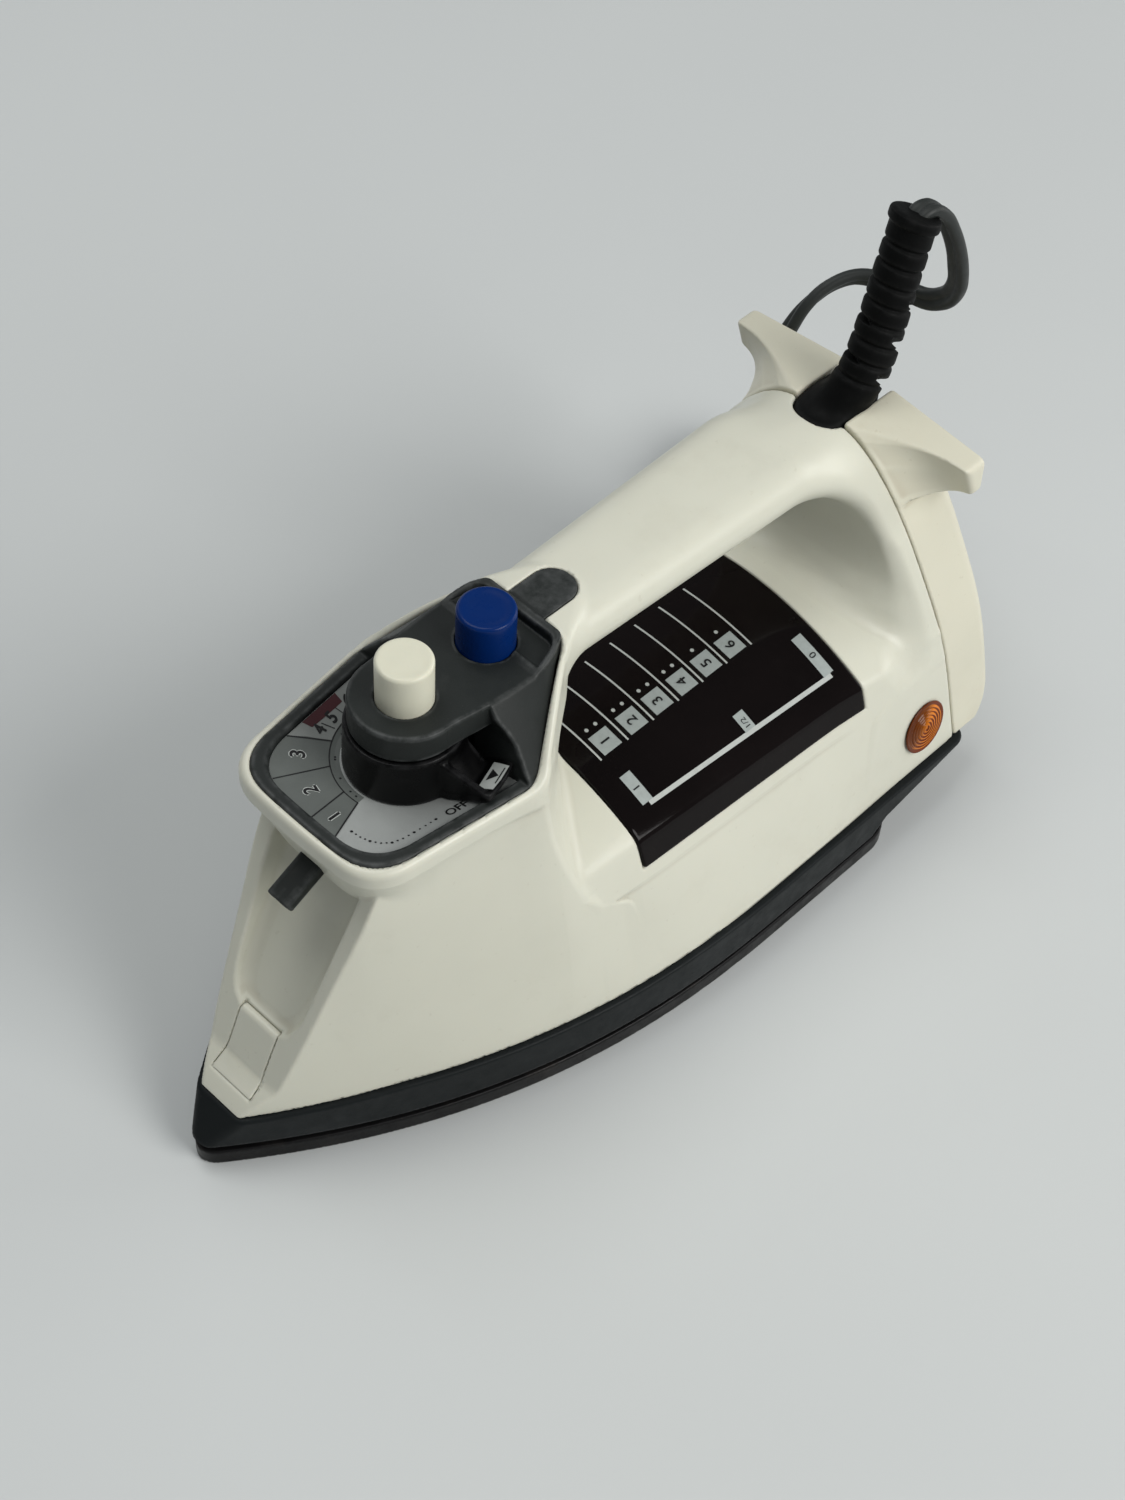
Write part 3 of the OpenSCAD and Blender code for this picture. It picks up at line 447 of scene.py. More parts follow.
M_blue = material("blue", (0.0004, 0.0185, 0.116), 0.30, spec=0.13, var=0.10, var_scale=90, rvar=0.06, rscale=300, bump=0.02, bscale=1500,
                  coat=0.08, coat_rough=0.1, grime=(0.01, 0.04, 0.16), grime_amt=0.2, grime_scale=70)


def lens_shade(N, L, tc, base, ramp, mix):
    """Painted shade: brown on the forward and upper part of the lens, clear amber behind."""
    mp = N.new("ShaderNodeMapping")
    mp.inputs["Location"].default_value = (-0.0952, 0.0504, -0.0352)
    L.new(tc.outputs["Object"], mp.inputs["Vector"])
    sx = N.new("ShaderNodeSeparateXYZ")
    L.new(mp.outputs["Vector"], sx.inputs[0])
    k = N.new("ShaderNodeMath")
    k.operation = "MULTIPLY_ADD"
    L.new(sx.outputs[2], k.inputs[0])
    k.inputs[1].default_value = -0.75
    L.new(sx.outputs[0], k.inputs[2])
    q = N.new("ShaderNodeMapRange")
    q.inputs["From Min"].default_value = -0.0085
    q.inputs["From Max"].default_value = 0.0060
    L.new(k.outputs[0], q.inputs["Value"])
    g = ramp(q.outputs["Result"], [(0.0, (1, 1, 1)), (0.34, (0.85, 0.85, 0.85)), (0.58, (0, 0, 0))])
    return mix(g, base, (0.10, 0.020, 0.0012))


M_amber = material("amber", (0.66, 0.185, 0.002), 0.12, spec=0.22, var=0.22, var_scale=160, rvar=0.04, rscale=260, bump=0.01, bscale=900,
                   coat=0.12, coat_rough=0.05, painted_shade_layer=lens_shade)
# a darker copy of the amber for the lens rim and ring grooves: painted shade
M_amber_groove_shade = material("amber_groove_shade", (0.15, 0.026, 0.001), 0.18, spec=0.2, var=0.25, var_scale=200, rvar=0.04, bump=0.01, bscale=900,
                        painted_shade_layer=lens_shade)
M_rubber = material("rubber", (0.0022, 0.0024, 0.0024), 0.58, spec=0.10, var=0.25, var_scale=90, rvar=0.10, rscale=260, bump=0.10, bscale=1500,
                    edge=(0.016, 0.016, 0.016), edge_amt=0.4, grime=(0.03, 0.03, 0.029), grime_amt=0.10, grime_scale=70)
M_flex = material("flex", (0.024, 0.027, 0.026), 0.46, spec=0.3, var=0.12, var_scale=120, rvar=0.08, rscale=300, bump=0.06, bscale=1600,
                  grime=(0.02, 0.02, 0.02), grime_amt=0.25, grime_scale=40)
M_plug = material("plug_rubber", (0.020, 0.020, 0.021), 0.48, var=0.2, var_scale=90, rvar=0.08, bump=0.12, bscale=1700,
                  edge=(0.06, 0.06, 0.06), edge_amt=0.3)
M_steel = material("steel", (0.50, 0.50, 0.51), 0.32, var=0.10, var_scale=260, rvar=0.10, rscale=500, bump=0.05, bscale=1600, metal=1.0, scratch=0.2)
M_brass = material("brass", (0.62, 0.47, 0.19), 0.28, var=0.10, var_scale=200, rvar=0.10, rscale=400, bump=0.04, bscale=1500, metal=1.0, scratch=0.2)
M_alu = material("aluminium", (0.62, 0.63, 0.64), 0.38, var=0.08, var_scale=120, rvar=0.10, rscale=300, bump=0.06, bscale=900, metal=1.0, scratch=0.2)
M_clear = material("clear_plastic", (0.62, 0.67, 0.69), 0.14, var=0.04, var_scale=60, rvar=0.05, bump=0.02, bscale=700, trans=0.6, ior=1.49)
M_greyp = material("grey_plastic", (0.50, 0.50, 0.49), 0.42, var=0.06, var_scale=120, rvar=0.07, bump=0.05, bscale=1400)
M_wire = material("wire", (0.50, 0.47, 0.36), 0.75, var=0.18, var_scale=700, rvar=0.08, rscale=900, bump=0.35, bscale=2600)

SLOT_MATERIAL = {
    "ivory": M_ivory, "ivory_warm": M_warm, "charcoal": M_charcoal, "sole_dark": M_sole, "smoked": M_smoked,
    "clear_plastic": M_clear, "dark_grey": M_grey, "grey_plastic": M_greyp, "silver": M_silver, "black": M_black,
    "blue": M_blue, "amber": M_amber, "steel": M_steel, "aluminium": M_alu, "brass": M_brass, "rubber": M_rubber,
    "wire": M_wire, "flex": M_flex,
}
for sub in frame["record"]["subparts"]:
    ob = frame["nodes"].get(sub["node"])
    if ob is not None:
        for k in range(len(ob.material_slots)):
            ob.material_slots[k].material = SLOT_MATERIAL[sub["material_slot"]]

# ------------------------------------------------------------------ the cord
RUN = [(243.8, 0, 161), (246.6, 0, 165.2), (250, -0.8, 166), (254, -2, 163), (257.5, -3, 157), (261.5, -3.6, 148.5),
       (265.5, -3, 139), (269, -1.4, 130.5), (271.6, 2.6, 122.5), (272, 8.4, 118), (270.5, 15, 117.8), (268, 21.5, 118.6),
       (263.5, 27, 119), (257, 30.5, 117.2), (250.5, 32.5, 112.8), (246.5, 34, 106), (245, 36, 97), (245.5, 39.5, 85),
       (247.5, 43.2, 71), (250.5, 46.6, 55), (253.6, 48.4, 38), (255.6, 50, 29.5), (257.6, 53.4, 22.2)]
HANK_C, HANK_HALF = (276.0, 35.5), 23.0


def stadium(s, r):
    """Point at fraction s of a turn of the hank, from the straight side next to the iron, towards +Y."""
    per = 4 * HANK_HALF + 2 * math.pi * r
    d = (s % 1.0) * per
    cx, cy = HANK_C
    if d < HANK_HALF:
        return (cx - r, cy + d)
    d -= HANK_HALF
    if d < math.pi * r:
        a = math.pi - d / r
        return (cx + r * math.cos(a), cy + HANK_HALF + r * math.sin(a))
    d -= math.pi * r
    if d < 2 * HANK_HALF:
        return (cx + r, cy + HANK_HALF - d)
    d -= 2 * HANK_HALF
    if d < math.pi * r:
        a = -d / r
        return (cx + r * math.cos(a), cy - HANK_HALF + r * math.sin(a))
    d -= math.pi * r
    return (cx - r, cy - HANK_HALF + d)


R_IN, R_OUT = 16.9, 20.3
turn_r = [R_IN, R_OUT, R_OUT, R_IN, R_IN, R_OUT]
turn_z = [16.0, 16.0, 9.6, 9.6, 3.25, 3.25]
hank = []
for t in range(6):
    for i in range(28):
        s = i / 28.0
        if t == 0 and s < 0.16:
            continue
        k = 0.0
        if t < 5 and s > 0.80:
            k = (s - 0.80) / 0.20
            k = k * k * (3 - 2 * k)
        r = turn_r[t] + (turn_r[min(t + 1, 5)] - turn_r[t]) * k
        z = turn_z[t] + (turn_z[min(t + 1, 5)] - turn_z[t]) * k
        x, y = stadium(s, r)
        hank.append((x, y, z))
LEAD = [(255.6, 39.5, 3.3), (254, 44, 3.4), (250, 48.5, 3.4), (246.5, 54, 3.6), (242.5, 59.5, 4.4), (238.5, 63.5, 5.8), (233.2, 66, 7.2)]
cord_pts = np.array(RUN + hank + LEAD[1:], float)


def catmull(p, per):
    """Dense points on a smooth curve through p, and each one's place among the given points."""
    out, at = [], []
    q = np.vstack([2 * p[0] - p[1], p, 2 * p[-1] - p[-2]])
    for i in range(1, len(q) - 2):
        t0 = 0.0
        t1 = t0 + np.linalg.norm(q[i] - q[i - 1]) ** 0.5
        t2 = t1 + np.linalg.norm(q[i + 1] - q[i]) ** 0.5
        t3 = t2 + np.linalg.norm(q[i + 2] - q[i + 1]) ** 0.5
        n = per(i - 1)
        for j in range(n):
            t = t1 + (t2 - t1) * j / n
            a1 = (t1 - t) / (t1 - t0) * q[i - 1] + (t - t0) / (t1 - t0) * q[i]
            a2 = (t2 - t) / (t2 - t1) * q[i] + (t - t1) / (t2 - t1) * q[i + 1]
            a3 = (t3 - t) / (t3 - t2) * q[i + 1] + (t - t2) / (t3 - t2) * q[i + 2]
            b1 = (t2 - t) / (t2 - t0) * a1 + (t - t0) / (t2 - t0) * a2
            b2 = (t3 - t) / (t3 - t1) * a2 + (t - t1) / (t3 - t1) * a3
            out.append((t2 - t) / (t2 - t1) * b1 + (t - t1) / (t2 - t1) * b2)
            at.append(i - 1 + j / n)
    out.append(p[-1])
    at.append(len(p) - 1)
    return np.array(out), np.array(at)


dense, place = catmull(cord_pts, lambda i: 5 if i < len(RUN) else 2)
# direction of the flat cord's broad side along its way: across the iron at the top, turning upright for the hank
wide_at = [(0, (0, 1, 0)), (6, (0, 1, 0.05)), (8, (0.2, 0.8, 0.55)), (10, (-0.1, 0.1, 1)), (12, (-0.42, -0.32, 0.85)), (13.5, (-0.48, -0.42, 0.77)),
           (15.5, (-0.6, -0.75, -0.1)), (18, (-0.9, 0.3, -0.1)), (21, (-0.8, 0.5, -0.3)), (23, (-0.15, 0.2, -1)), (25, (0, 0, -1)),
           (len(cord_pts) - 6, (0, 0, -1)), (len(cord_pts) - 1, (-0.25, -0.4, -0.9))]
tan = np.gradient(dense, axis=0)
tan /= np.linalg.norm(tan, axis=1)[:, None]
wide = np.column_stack([np.interp(place, [w[0] for w in wide_at], [w[1][a] for w in wide_at]) for a in range(3)])
wide -= (wide * tan).sum(1)[:, None] * tan
wide /= np.linalg.norm(wide, axis=1)[:, None]
thin = np.cross(tan, wide)
# two round cores side by side with a groove between them: 6.4 by 3.4 mm
sec = []
for a in np.radians(np.linspace(-128, 128, 9)):
    sec.append((1.52 + 1.68 * math.cos(a), 1.68 * math.sin(a)))
sec.append((0.0, 1.02))
for a in np.radians(np.linspace(52, 308, 9)):
    sec.append((-1.52 + 1.68 * math.cos(a), 1.68 * math.sin(a)))
sec.append((0.0, -1.02))
ns = len(sec)
cv = (dense[:, None, :] + wide[:, None, :] * np.array([q[0] for q in sec])[None, :, None]
      + thin[:, None, :] * np.array([q[1] for q in sec])[None, :, None]).reshape(-1, 3)
cf = [[i * ns + j, i * ns + (j + 1) % ns, (i + 1) * ns + (j + 1) % ns, (i + 1) * ns + j] for i in range(len(dense) - 1) for j in range(ns)]
cf = cf + [list(range(ns))[::-1], [(len(dense) - 1) * ns + j for j in range(ns)]]
flex = mesh_obj("flex", cv, cf, M_flex)
settle(flex, "iron", ("cord_run", "cord_hank", "cord_lead"))
dense_len = float(np.linalg.norm(np.diff(dense, axis=0), axis=1).sum()) / 1000.0

# ------------------------------------------------------------------ plug, its blades and the tie
def plug_f(x, y, z):
    dy, dz = np.abs(y - 66.0), z - 7.2
    ww = 9.4 - 0.10 * np.clip(x - 212, 0, 20)
    body = smax(smax(dy - ww, np.abs(dz) - 6.9 + 0.07 * np.clip(x - 214, 0, 20), 6.0), np.abs(x - 217) - 11.0, 2.6)
    grip = smax(smax(np.abs(np.mod(x - 213.0, 2.6) - 1.3) - 0.55, np.abs(x - 217) - 6.2, 0.4), 7.6 - dy, 0.5)
    body = smax(body, -grip, 0.5)
    rr = np.sqrt((y - 66.0) ** 2 + dz**2)
    r = 5.6 - 0.30 * (x - 227) - 0.45 * (np.mod(x - 227.6, 2.0) < 0.8)
    relief = smax(rr - r, np.abs(x - 229.9) - 4.6, 0.8)
    return smin(body, relief, 1.6)


plug = solid("plug", plug_f, (204.5, 55, -0.6), (236, 77, 15.2), 0.5, M_plug, nodes=("cord_plug",))


def blade_f(x, y, z):
    f = None
    for s in (-1, 1):
        b = smax(smax(np.abs(y - 66 - s * 6.35) - 0.75, np.abs(z - 7.2) - 3.15, 0.5), np.abs(x - 199.5) - 10.4, 0.6)
        tip = (189.0 + 0.9 * np.maximum(np.abs(z - 7.2) - 1.6, 0) - x) * 0.8
        b = smax(b, tip, 0.5)
        b = smax(b, 1.6 - np.sqrt((x - 192.6) ** 2 + (z - 7.2) ** 2), 0.3)
        f = b if f is None else np.minimum(f, b)
    return f


blades = solid("blades", blade_f, (188, 58, 3), (211, 74, 11.4), 0.4, M_brass, nodes=("plug_blades",))


def tie_f(x, y, z):
    out = smax(np.abs(x - 294.6) - 5.2, np.abs(z - 10.2) - 10.15, 3.0)
    inn = smax(np.abs(x - 294.6) - 3.7, np.abs(z - 10.0) - 9.35, 2.0)
    band = smax(smax(out, -inn, 0.6), np.abs(y - 17.5) - 2.4, 0.8)
    head = smax(smax(np.abs(x - 296.6) - 3.6, np.abs(y - 17.5) - 3.4, 0.9), np.abs(z - 19.4) - 1.5, 0.9)
    return smin(band, head, 0.8)


tie = solid("tie", tie_f, (287, 13, -1.2), (302, 22, 22), 0.45, M_plug, nodes=("cord_tie",))

# ------------------------------------------------------------------ floor and light
def floor_material():
    mt = bpy.data.materials.new("floor")
    mt.use_nodes = True
    N, L = mt.node_tree.nodes, mt.node_tree.links
    bs = N["Principled BSDF"]
    tc = N.new("ShaderNodeTexCoord")
    n = N.new("ShaderNodeTexNoise")
    n.inputs["Scale"].default_value = 3.0
    n.inputs["Detail"].default_value = 3.0
    L.new(tc.outputs["Object"], n.inputs["Vector"])
    r = N.new("ShaderNodeValToRGB")
    r.color_ramp.elements[0].position, r.color_ramp.elements[0].color = 0.3, (0.575, 0.592, 0.592, 1)
    r.color_ramp.elements[1].position, r.color_ramp.elements[1].color = 0.7, (0.60, 0.617, 0.615, 1)
    L.new(n.outputs["Fac"], r.inputs["Fac"])
    L.new(r.outputs["Color"], bs.inputs["Base Color"])
    bs.inputs["Roughness"].default_value = 0.6
    return mt


fm = bpy.data.meshes.new("floor")
fm.from_pydata([(-4, -4, 0), (4, -4, 0), (4, 4, 0), (-4, 4, 0)], [], [(0, 1, 2, 3)])
fm.materials.append(floor_material())
floor = bpy.data.objects.new("floor", fm)
bpy.context.scene.collection.objects.link(floor)

world = bpy.data.worlds.new("studio")
bpy.context.scene.world = world
world.use_nodes = True
world.node_tree.nodes["Background"].inputs["Color"].default_value = (0.93, 0.97, 1.0, 1)
world.node_tree.nodes["Background"].inputs["Strength"].default_value = 0.20


def area(name, loc, target, size, power, color=(1, 1, 1)):
    ld = bpy.data.lights.new(name, "AREA")
    ld.shape = "RECTANGLE"
    ld.size, ld.size_y = size
    ld.energy = power
    ld.color = color
    o = bpy.data.objects.new(name, ld)
    bpy.context.scene.collection.objects.link(o)
    o.location = loc
    o.rotation_euler = (Vector(target) - Vector(loc)).to_track_quat("-Z", "Y").to_euler()
    return o


area("key", (0.25, -1.30, 1.05), (0, 0, 0.05), (0.95, 0.85), 18.4, (1.0, 0.997, 0.975))
area("top", (-0.10, 0.40, 1.50), (0, 0, 0.05), (0.9, 0.9), 8.2, (0.98, 1.0, 0.985))
area("side", (1.35, -0.55, 0.50), (0.05, 0, 0.06), (0.8, 0.7), 5, (1.0, 1.0, 0.98))
area("rear", (0.4, 1.5, 0.8), (0, 0, 0.05), (1.2, 0.8), 3.5, (0.97, 0.99, 1.0))

# ------------------------------------------------------------------ body shapes (millimetres)
def S(x):
    return 2.4 + 52.1 * (1 - (1 - np.clip(x, 0, 160) / 160.0) ** 2.35)


wall_u = curve([(4, 6.2), (7, 6.5), (13, 7.2), (20, 8.6), (29, 12.4), (41, 19), (60, 25.6), (75, 30.2), (90, 34), (116, 36)])
end_rear = curve([(16, 124), (40, 122), (47, 116), (54, 110), (59, 110), (66, 113), (75, 116.4), (90, 119), (106, 122), (125, 124)])
top_f = curve([(0, 99.5), (83, 99.5), (84.5, 101.5), (86.4, 104.3), (110.5, 121.8), (113, 122.3), (130, 122.4)])


def side_w(x, z):
    t = np.clip((z - 20.5) / 63.5, -0.06, 1.35)
    w0, wu = S(x) - 1.2, wall_u(x)
    bulge = 1.2 * np.clip((x - 40) / 50.0, 0, 1) * np.clip((106 - x) / 18.0, 0, 1)
    return w0 + (wu - w0) * t + bulge * 4 * np.clip(t, 0, 1) * (1 - np.clip(t, 0, 1))


def bezel2(x, y):
    a = np.abs(y)
    fr = 38.3 + 0.0020 * y * y - x
    sd = (a - (24.6 + (x - 47) * 0.127)) * 0.992
    rs = ((x - 86.4) * 16.1 + (a - 28.6) * 24.0) / 28.9
    return smax(smax(smax(fr, sd, 11.0), rs, 2.4), x - 110.4, 2.4)


def base_z(x):
    """Height of the line between the housing and the skirt, a little lower at the nose."""
    return 20.5 - 2.2 * np.clip((44.0 - x) / 36.0, 0, 1)


def rim_x(z):
    return 16.4 + (z - 27.1) * 0.4477


NOSE_S = 0.80


def front_f(x, y, z):
    a = np.abs(y)
    side = (a - side_w(x, z)) * 0.86
    rimp = (rim_x(z) - x) * 0.9127
    nose = smax((7.4 + (z - 18.3) * 0.86 - x) * 0.758, (z - (22.6 + (x - 11.1) * NOSE_S)) * 0.78, 0.9)
    f = smax(side, smin(rimp, nose, 0.7), 0.5)
    # cheeks drawing in from the crease to the handle's front root
    mslope = np.interp(z, [20, 55, 75, 98, 125], [-1.1, -1.1, -1.1, -0.74, -0.72])
    xc = np.interp(z, [20, 59, 75, 84, 98, 125], [100, 94.5, 90, 88, 86.3, 86.3])
    yc = np.interp(z, [20, 50, 55, 60, 75, 84, 98, 104, 125], [70, 58, 46.5, 40.8, 36.7, 34.4, 32.3, 32.0, 31.8])
    cheek = (a - (yc + (x - xc) * mslope)) / np.sqrt(1 + mslope * mslope)
    f = smax(f, cheek, 1.3)
    f = smax(f, (x - end_rear(z) + 0.012 * y * y * np.clip((z - 54) / 16.0, 0, 1)) * 0.98, 6.0)
    return smax(f, (z - top_f(x)) * np.where((x > 84) & (x < 111), 0.80, 1.0), 2.2)


def slab_f(x, y, z):
    b = bezel2(x, y) - 2.05
    f = smax(b, z - 104.5, 2.2)
    f = smax(f, 98.2 - z, 1.6)
    # below it the underside draws in to the body, and stops above the trough
    m = np.interp(x, [58.0, 86.0], [3.0, 0.6])
    g = b + 1.15
    g = smax(g, (98.8 + m * g - z) / np.sqrt(1 + m * m), 1.0)
    g = smax(g, np.maximum(82.3 - z, z - 100.0), 1.0)
    f = smin(f, g, 0.7)
    return smax(f, x - 96, 3.0)


mid_pts = lambda x: (43.6 + (x - 114) * 0.04 - 0.075 * np.clip(112 - x, 0, 40), 40.6 + (x - 114) * 0.045, 38.0 + (x - 114) * 0.05)


def saddle_z(x, y):
    brow_y = 38 + (x - 114) * 0.05
    brow_z = 65 - (x - 114) * 0.012
    return 75.2 - (75.2 - brow_z) * (y / brow_y) ** 2


def mid_f(x, y, z):
    a = np.abs(y)
    w0 = S(x) - 1.2
    yb, yf, yw = mid_pts(x)
    lower = (a - (w0 + (yb - w0) * (z - 20.5) / 32.2)) * 0.98
    q = np.clip((128.0 - x) / 26.0, 0, 1)
    q = q * q * (3 - 2 * q)
    lower = (1 - q) * lower + q * (a - side_w(x, z)) * 0.86
    band = ((a - yf) * 5.3 + (z - 58.0) * (yb - yf)) / np.sqrt(5.3**2 + (yb - yf) ** 2)
    brow = ((a - yf) * 7.0 + (z - 58.0) * (yf - yw)) / np.sqrt(7.0**2 + (yf - yw) ** 2)
    top = (z - saddle_z(x, a)) * 0.90
    upper = smax(smax(brow, top, 1.8), 53 - z, 1.0)
    low = smax(lower, band, 4.0)
    s = np.clip((x - 178.0) / 32.0, 0, 1)
    s = s * s * (3 - 2 * s)
    low = (1 - s) * low + s * tent2(y, z)
    f = smin(low, upper, 1.2)
    f = smax(f, z - saddle_z(x, a) + 0.0, 1.0)
    f = smax(f, 95.5 - x, 3.0)
    return smax(f, x - 230.0, 1.0)


tent_pts = [(54.6, 12), (53.6, 20.5), (52.2, 30), (46.8, 58), (38.4, 80), (27.7, 101), (21.0, 110), (14.8, 115.6), (8.4, 118.4), (0, 119.4), (-6, 119.4)]


def tent2(y, z):
    a = np.abs(y)
    f = None
    for p, q in zip(tent_pts, tent_pts[1:]):
        dx, dz = q[0] - p[0], q[1] - p[1]
        l = math.hypot(dx, dz)
        d = ((a - p[0]) * dz - (z - p[1]) * dx) / l
        f = d if f is None else smax(f, d, 2.6)
    return f


# inner face of the rear post: where it lies in the middle of the body, and out at the flank
scoop_mid = curve([(14, 190), (56, 199.6), (68, 202.1), (72.5, 203.8), (76, 206.6), (82, 210.6), (90, 212.6), (97, 212.0), (102, 209.6), (106, 206.1), (110, 203.6), (116, 202.1), (126, 201.6)], 1600)
scoop_out = curve([(14, 190), (50, 196), (56, 205), (60, 212), (64, 216.6), (68, 218.0), (72, 217.8), (80, 216.8), (88, 215), (96, 213), (104, 210.8), (106, 209.5), (108, 207.5), (112, 204), (118, 202), (126, 201.6)], 1600)
tent_a = curve([(12, 54.6), (20.5, 53.6), (30, 52.2), (58, 46.8), (80, 38.4), (101, 27.7), (110, 21.0), (115.6, 14.8), (126, 9.0)])
_zz = np.linspace(14, 126, 1600)
_sm, _so = np.gradient(scoop_mid(_zz), _zz), np.gradient(scoop_out(_zz), _zz)


def scoop_f(x, y, z):
    w = np.clip(np.abs(y) / tent_a(z), 0, 1.15) ** 2.4
    xm, xo = scoop_mid(z), scoop_out(z)
    sl = (1 - w) * np.interp(z, _zz, _sm) + w * np.interp(z, _zz, _so)
    return (xm + (xo - xm) * w - x) / np.sqrt(1.05 + sl**2)


def valley_f(x, y, z):
    """Soft hollow where the hand hole runs out over the flank, behind the window."""
    a = np.abs(y)
    d = np.array((-8.0, -14.0, 28.0))
    px, py, pz = x - 213.0, a - 56.0, z - 64.0
    t = np.clip((px * d[0] + py * d[1] + pz * d[2]) / float(d @ d), 0, 1)
    return np.sqrt((px - t * d[0]) ** 2 + (py - t * d[1]) ** 2 + (pz - t * d[2]) ** 2) - 12.4 - 1.6 * t


grip_top = curve([(90, 123.4), (194, 123.4), (206, 122.5), (214, 121.3), (222, 120.3), (242, 117.4)])


def rear_f(x, y, z):
    """Handle and rear post in one: an outer hull, less the hand hole."""
    a = np.abs(y)
    t = np.clip((x - 190.0) / 28.0, 0, 1)
    t = t * t * (3 - 2 * t)
    t = 1 - (1 - t) * np.clip((z - 88.0) / 16.0, 0, 1)
    hw = 16.8 + (x - 112) * 0.035
    hg = smax(a - hw, z - grip_top(x) + 0.004 * a * a, 11.0)
    hull = (1 - t) * hg + t * tent2(y, z)
    inner = smin(105.7 - z, scoop_f(x, y, z), 6.0)
    return smax(smax(hull, inner, 20.0 - 16.6 * t), 110.6 - x, 1.0)


def seam_f(x, y, z):
    return (x - (217.5 + (120 - z) * 0.15)) / 1.0112


def slot_f(x, y, z):
    d = np.sqrt(np.minimum(x - 219.3, 0) ** 2 + y * y) - 7.9
    return smax(d, 97 - z, 1.0)


trough_hw = curve([(30, 0.5), (38.6, 4.0), (39.6, 6.6), (42, 9.6), (47.4, 11.7), (58, 12.8), (80, 14.5), (92, 15.1)])


def trough_f(x, y, z):
    a = np.abs(y)
    t = (x - rim_x(z)) * 0.9127
    depth = 3.0 + np.clip(z - 40, 0, 28) * 0.13 + np.clip(z - 68, 0, 20) * 0.04
    hw = trough_hw(z - 0.30 * np.clip(t, 0, 9)) - 0.13 * np.clip(t, -2, 10)
    f = smax((a - hw) * 0.95, t - depth, 3.0)
    f = smax(f, (39.5 + 0.30 * np.clip(t, 0, 9) - z) * 0.9, 1.3)
    return smax(f, z - 90.2, 2.2)


def tile_cut(x, y, z):
    """Seat of the nose tile, a strip down the middle of the nose."""
    a = np.abs(y)
    hw = np.interp(z, [22, 29, 40], [7.35, 6.6, 6.75])
    return np.maximum(np.maximum(a - hw, 22.5 + (x - 11.1) * 0.1 - z), np.maximum(x - (rim_x(z) + 2.6), x - 24.0))


def housing_f(x, y, z):
    f = smax(front_f(x, y, z), -trough_f(x, y, z), 0.7)
    f = smin(f, slab_f(x, y, z), 0.6 + 2.6 * np.clip((x - 46.0) / 12.0, 0, 1))
    md = mid_f(x, y, z)
    win = np.maximum(np.maximum(114.1 - x, x - 195.1), np.maximum(56.3 - z, -(md + 2.3)))
    f = smin(f, smax(md, -win, 0.7), 0.2 + 2.4 * np.clip((z - 54.0) / 7.0, 0, 1))
    f = smin(f, rear_f(x, y, z), 0.4 + 3.6 * np.clip((z - 60.0) / 8.0, 0, 1))
    f = smax(f, -valley_f(x, y, z), 2.2)
    f = smax(f, -tile_cut(x, y, z), 0.3)
    well = smax(bezel2(x, y) + 0.02, 98.0 - z, 0.8)
    f = smax(f, -well, 0.7)
    tongue = np.maximum(np.sqrt(np.maximum(x - 119.5, 0) ** 2 + y * y) - 6.2, 122.0 - z)
    f = smax(f, -np.maximum(tongue, 104 - x), 0.5)
    f = smax(f, seam_f(x, y, z) + 0.16, 0.9)
    f = smax(f, -slot_f(x, y, z), 0.9)
    # passages for the dial shaft, the steam rod and the spray pump
    f = smax(f, np.minimum(6.2 - np.sqrt((x - 71.5) ** 2 + y * y), z + 1e3), 0.3)
    pump = np.maximum(np.maximum(np.abs(x - 97.5) - 9.3, np.abs(y) - 10.5), np.maximum(58 - z, z - 99.6))
    f = smax(f, -pump, 0.4)
    return smax(f, base_z(x) + 0.08 - z, 0.7)


solid("housing", housing_f, (4, -58, 16.5), (234, 58, 127), 0.8, M_ivory, nodes=("main_housing",), mirror=True)


def heel_x(z):
    return 238.6 + (115 - np.maximum(z, 32)) * 0.119


def wing_f(x, y, z):
    a = np.abs(y)
    y0 = np.interp(z, [98, 101, 110, 116, 119], [28.5, 26.8, 20.2, 14.2, 8.0])
    x0 = 217.5 + (120 - z) * 0.15
    x1 = 229.8 + np.clip(115 - z, -6, 14) * 0.38
    u = np.clip((a - y0) / np.maximum(39.6 - y0, 1), 0, 1.2)
    xf = x0 + (x1 - x0) * (1 - np.clip(1 - u, 0, 1) ** 2.3)
    frontf = (xf - x) * 0.72
    topf = z - (118.6 - (a - 6) * 0.098)
    bot = (100.4 + np.clip(a - 27, -8, 14) * 0.34 - z) * 0.93
    tip = (a - 39.9 + (z - 115) * 0.05) * 0.99
    f = smax(frontf, topf, 0.8)
    f = smax(f, bot, 0.8)
    f = smax(f, tip, 1.8)
    return smax(f, x - 237.8, 1.6)


def cover_f(x, y, z):
    f = smax(rear_f(x, y, z), (x - heel_x(z)) * 0.99, 4.5)
    f = smax(f, (x - heel_x(32.0) + 0.035 * np.clip(33 - z, 0, 20) ** 2 * 1.0) * 0.85, 2.0)
    f = smin(f, wing_f(x, y, z), 1.2)
    f = smax(f, -seam_f(x, y, z) + 0.16, 0.7)
    f = smax(f, -slot_f(x, y, z), 0.9)
    for sy, sz in ((26, 74), (38, 40)):
        d = np.sqrt((np.abs(y) - sy) ** 2 + (z - sz) ** 2)
        f = smax(f, -np.maximum(d - 3.7, heel_x(np.array(sz)) - 4.0 - x), 0.5)
    return smax(f, 20.55 - z, 0.9)


solid("heel_cover", cover_f, (214, -58, 18), (253, 58, 123), 0.7, M_warm, nodes=("rear_cover",), mirror=True)


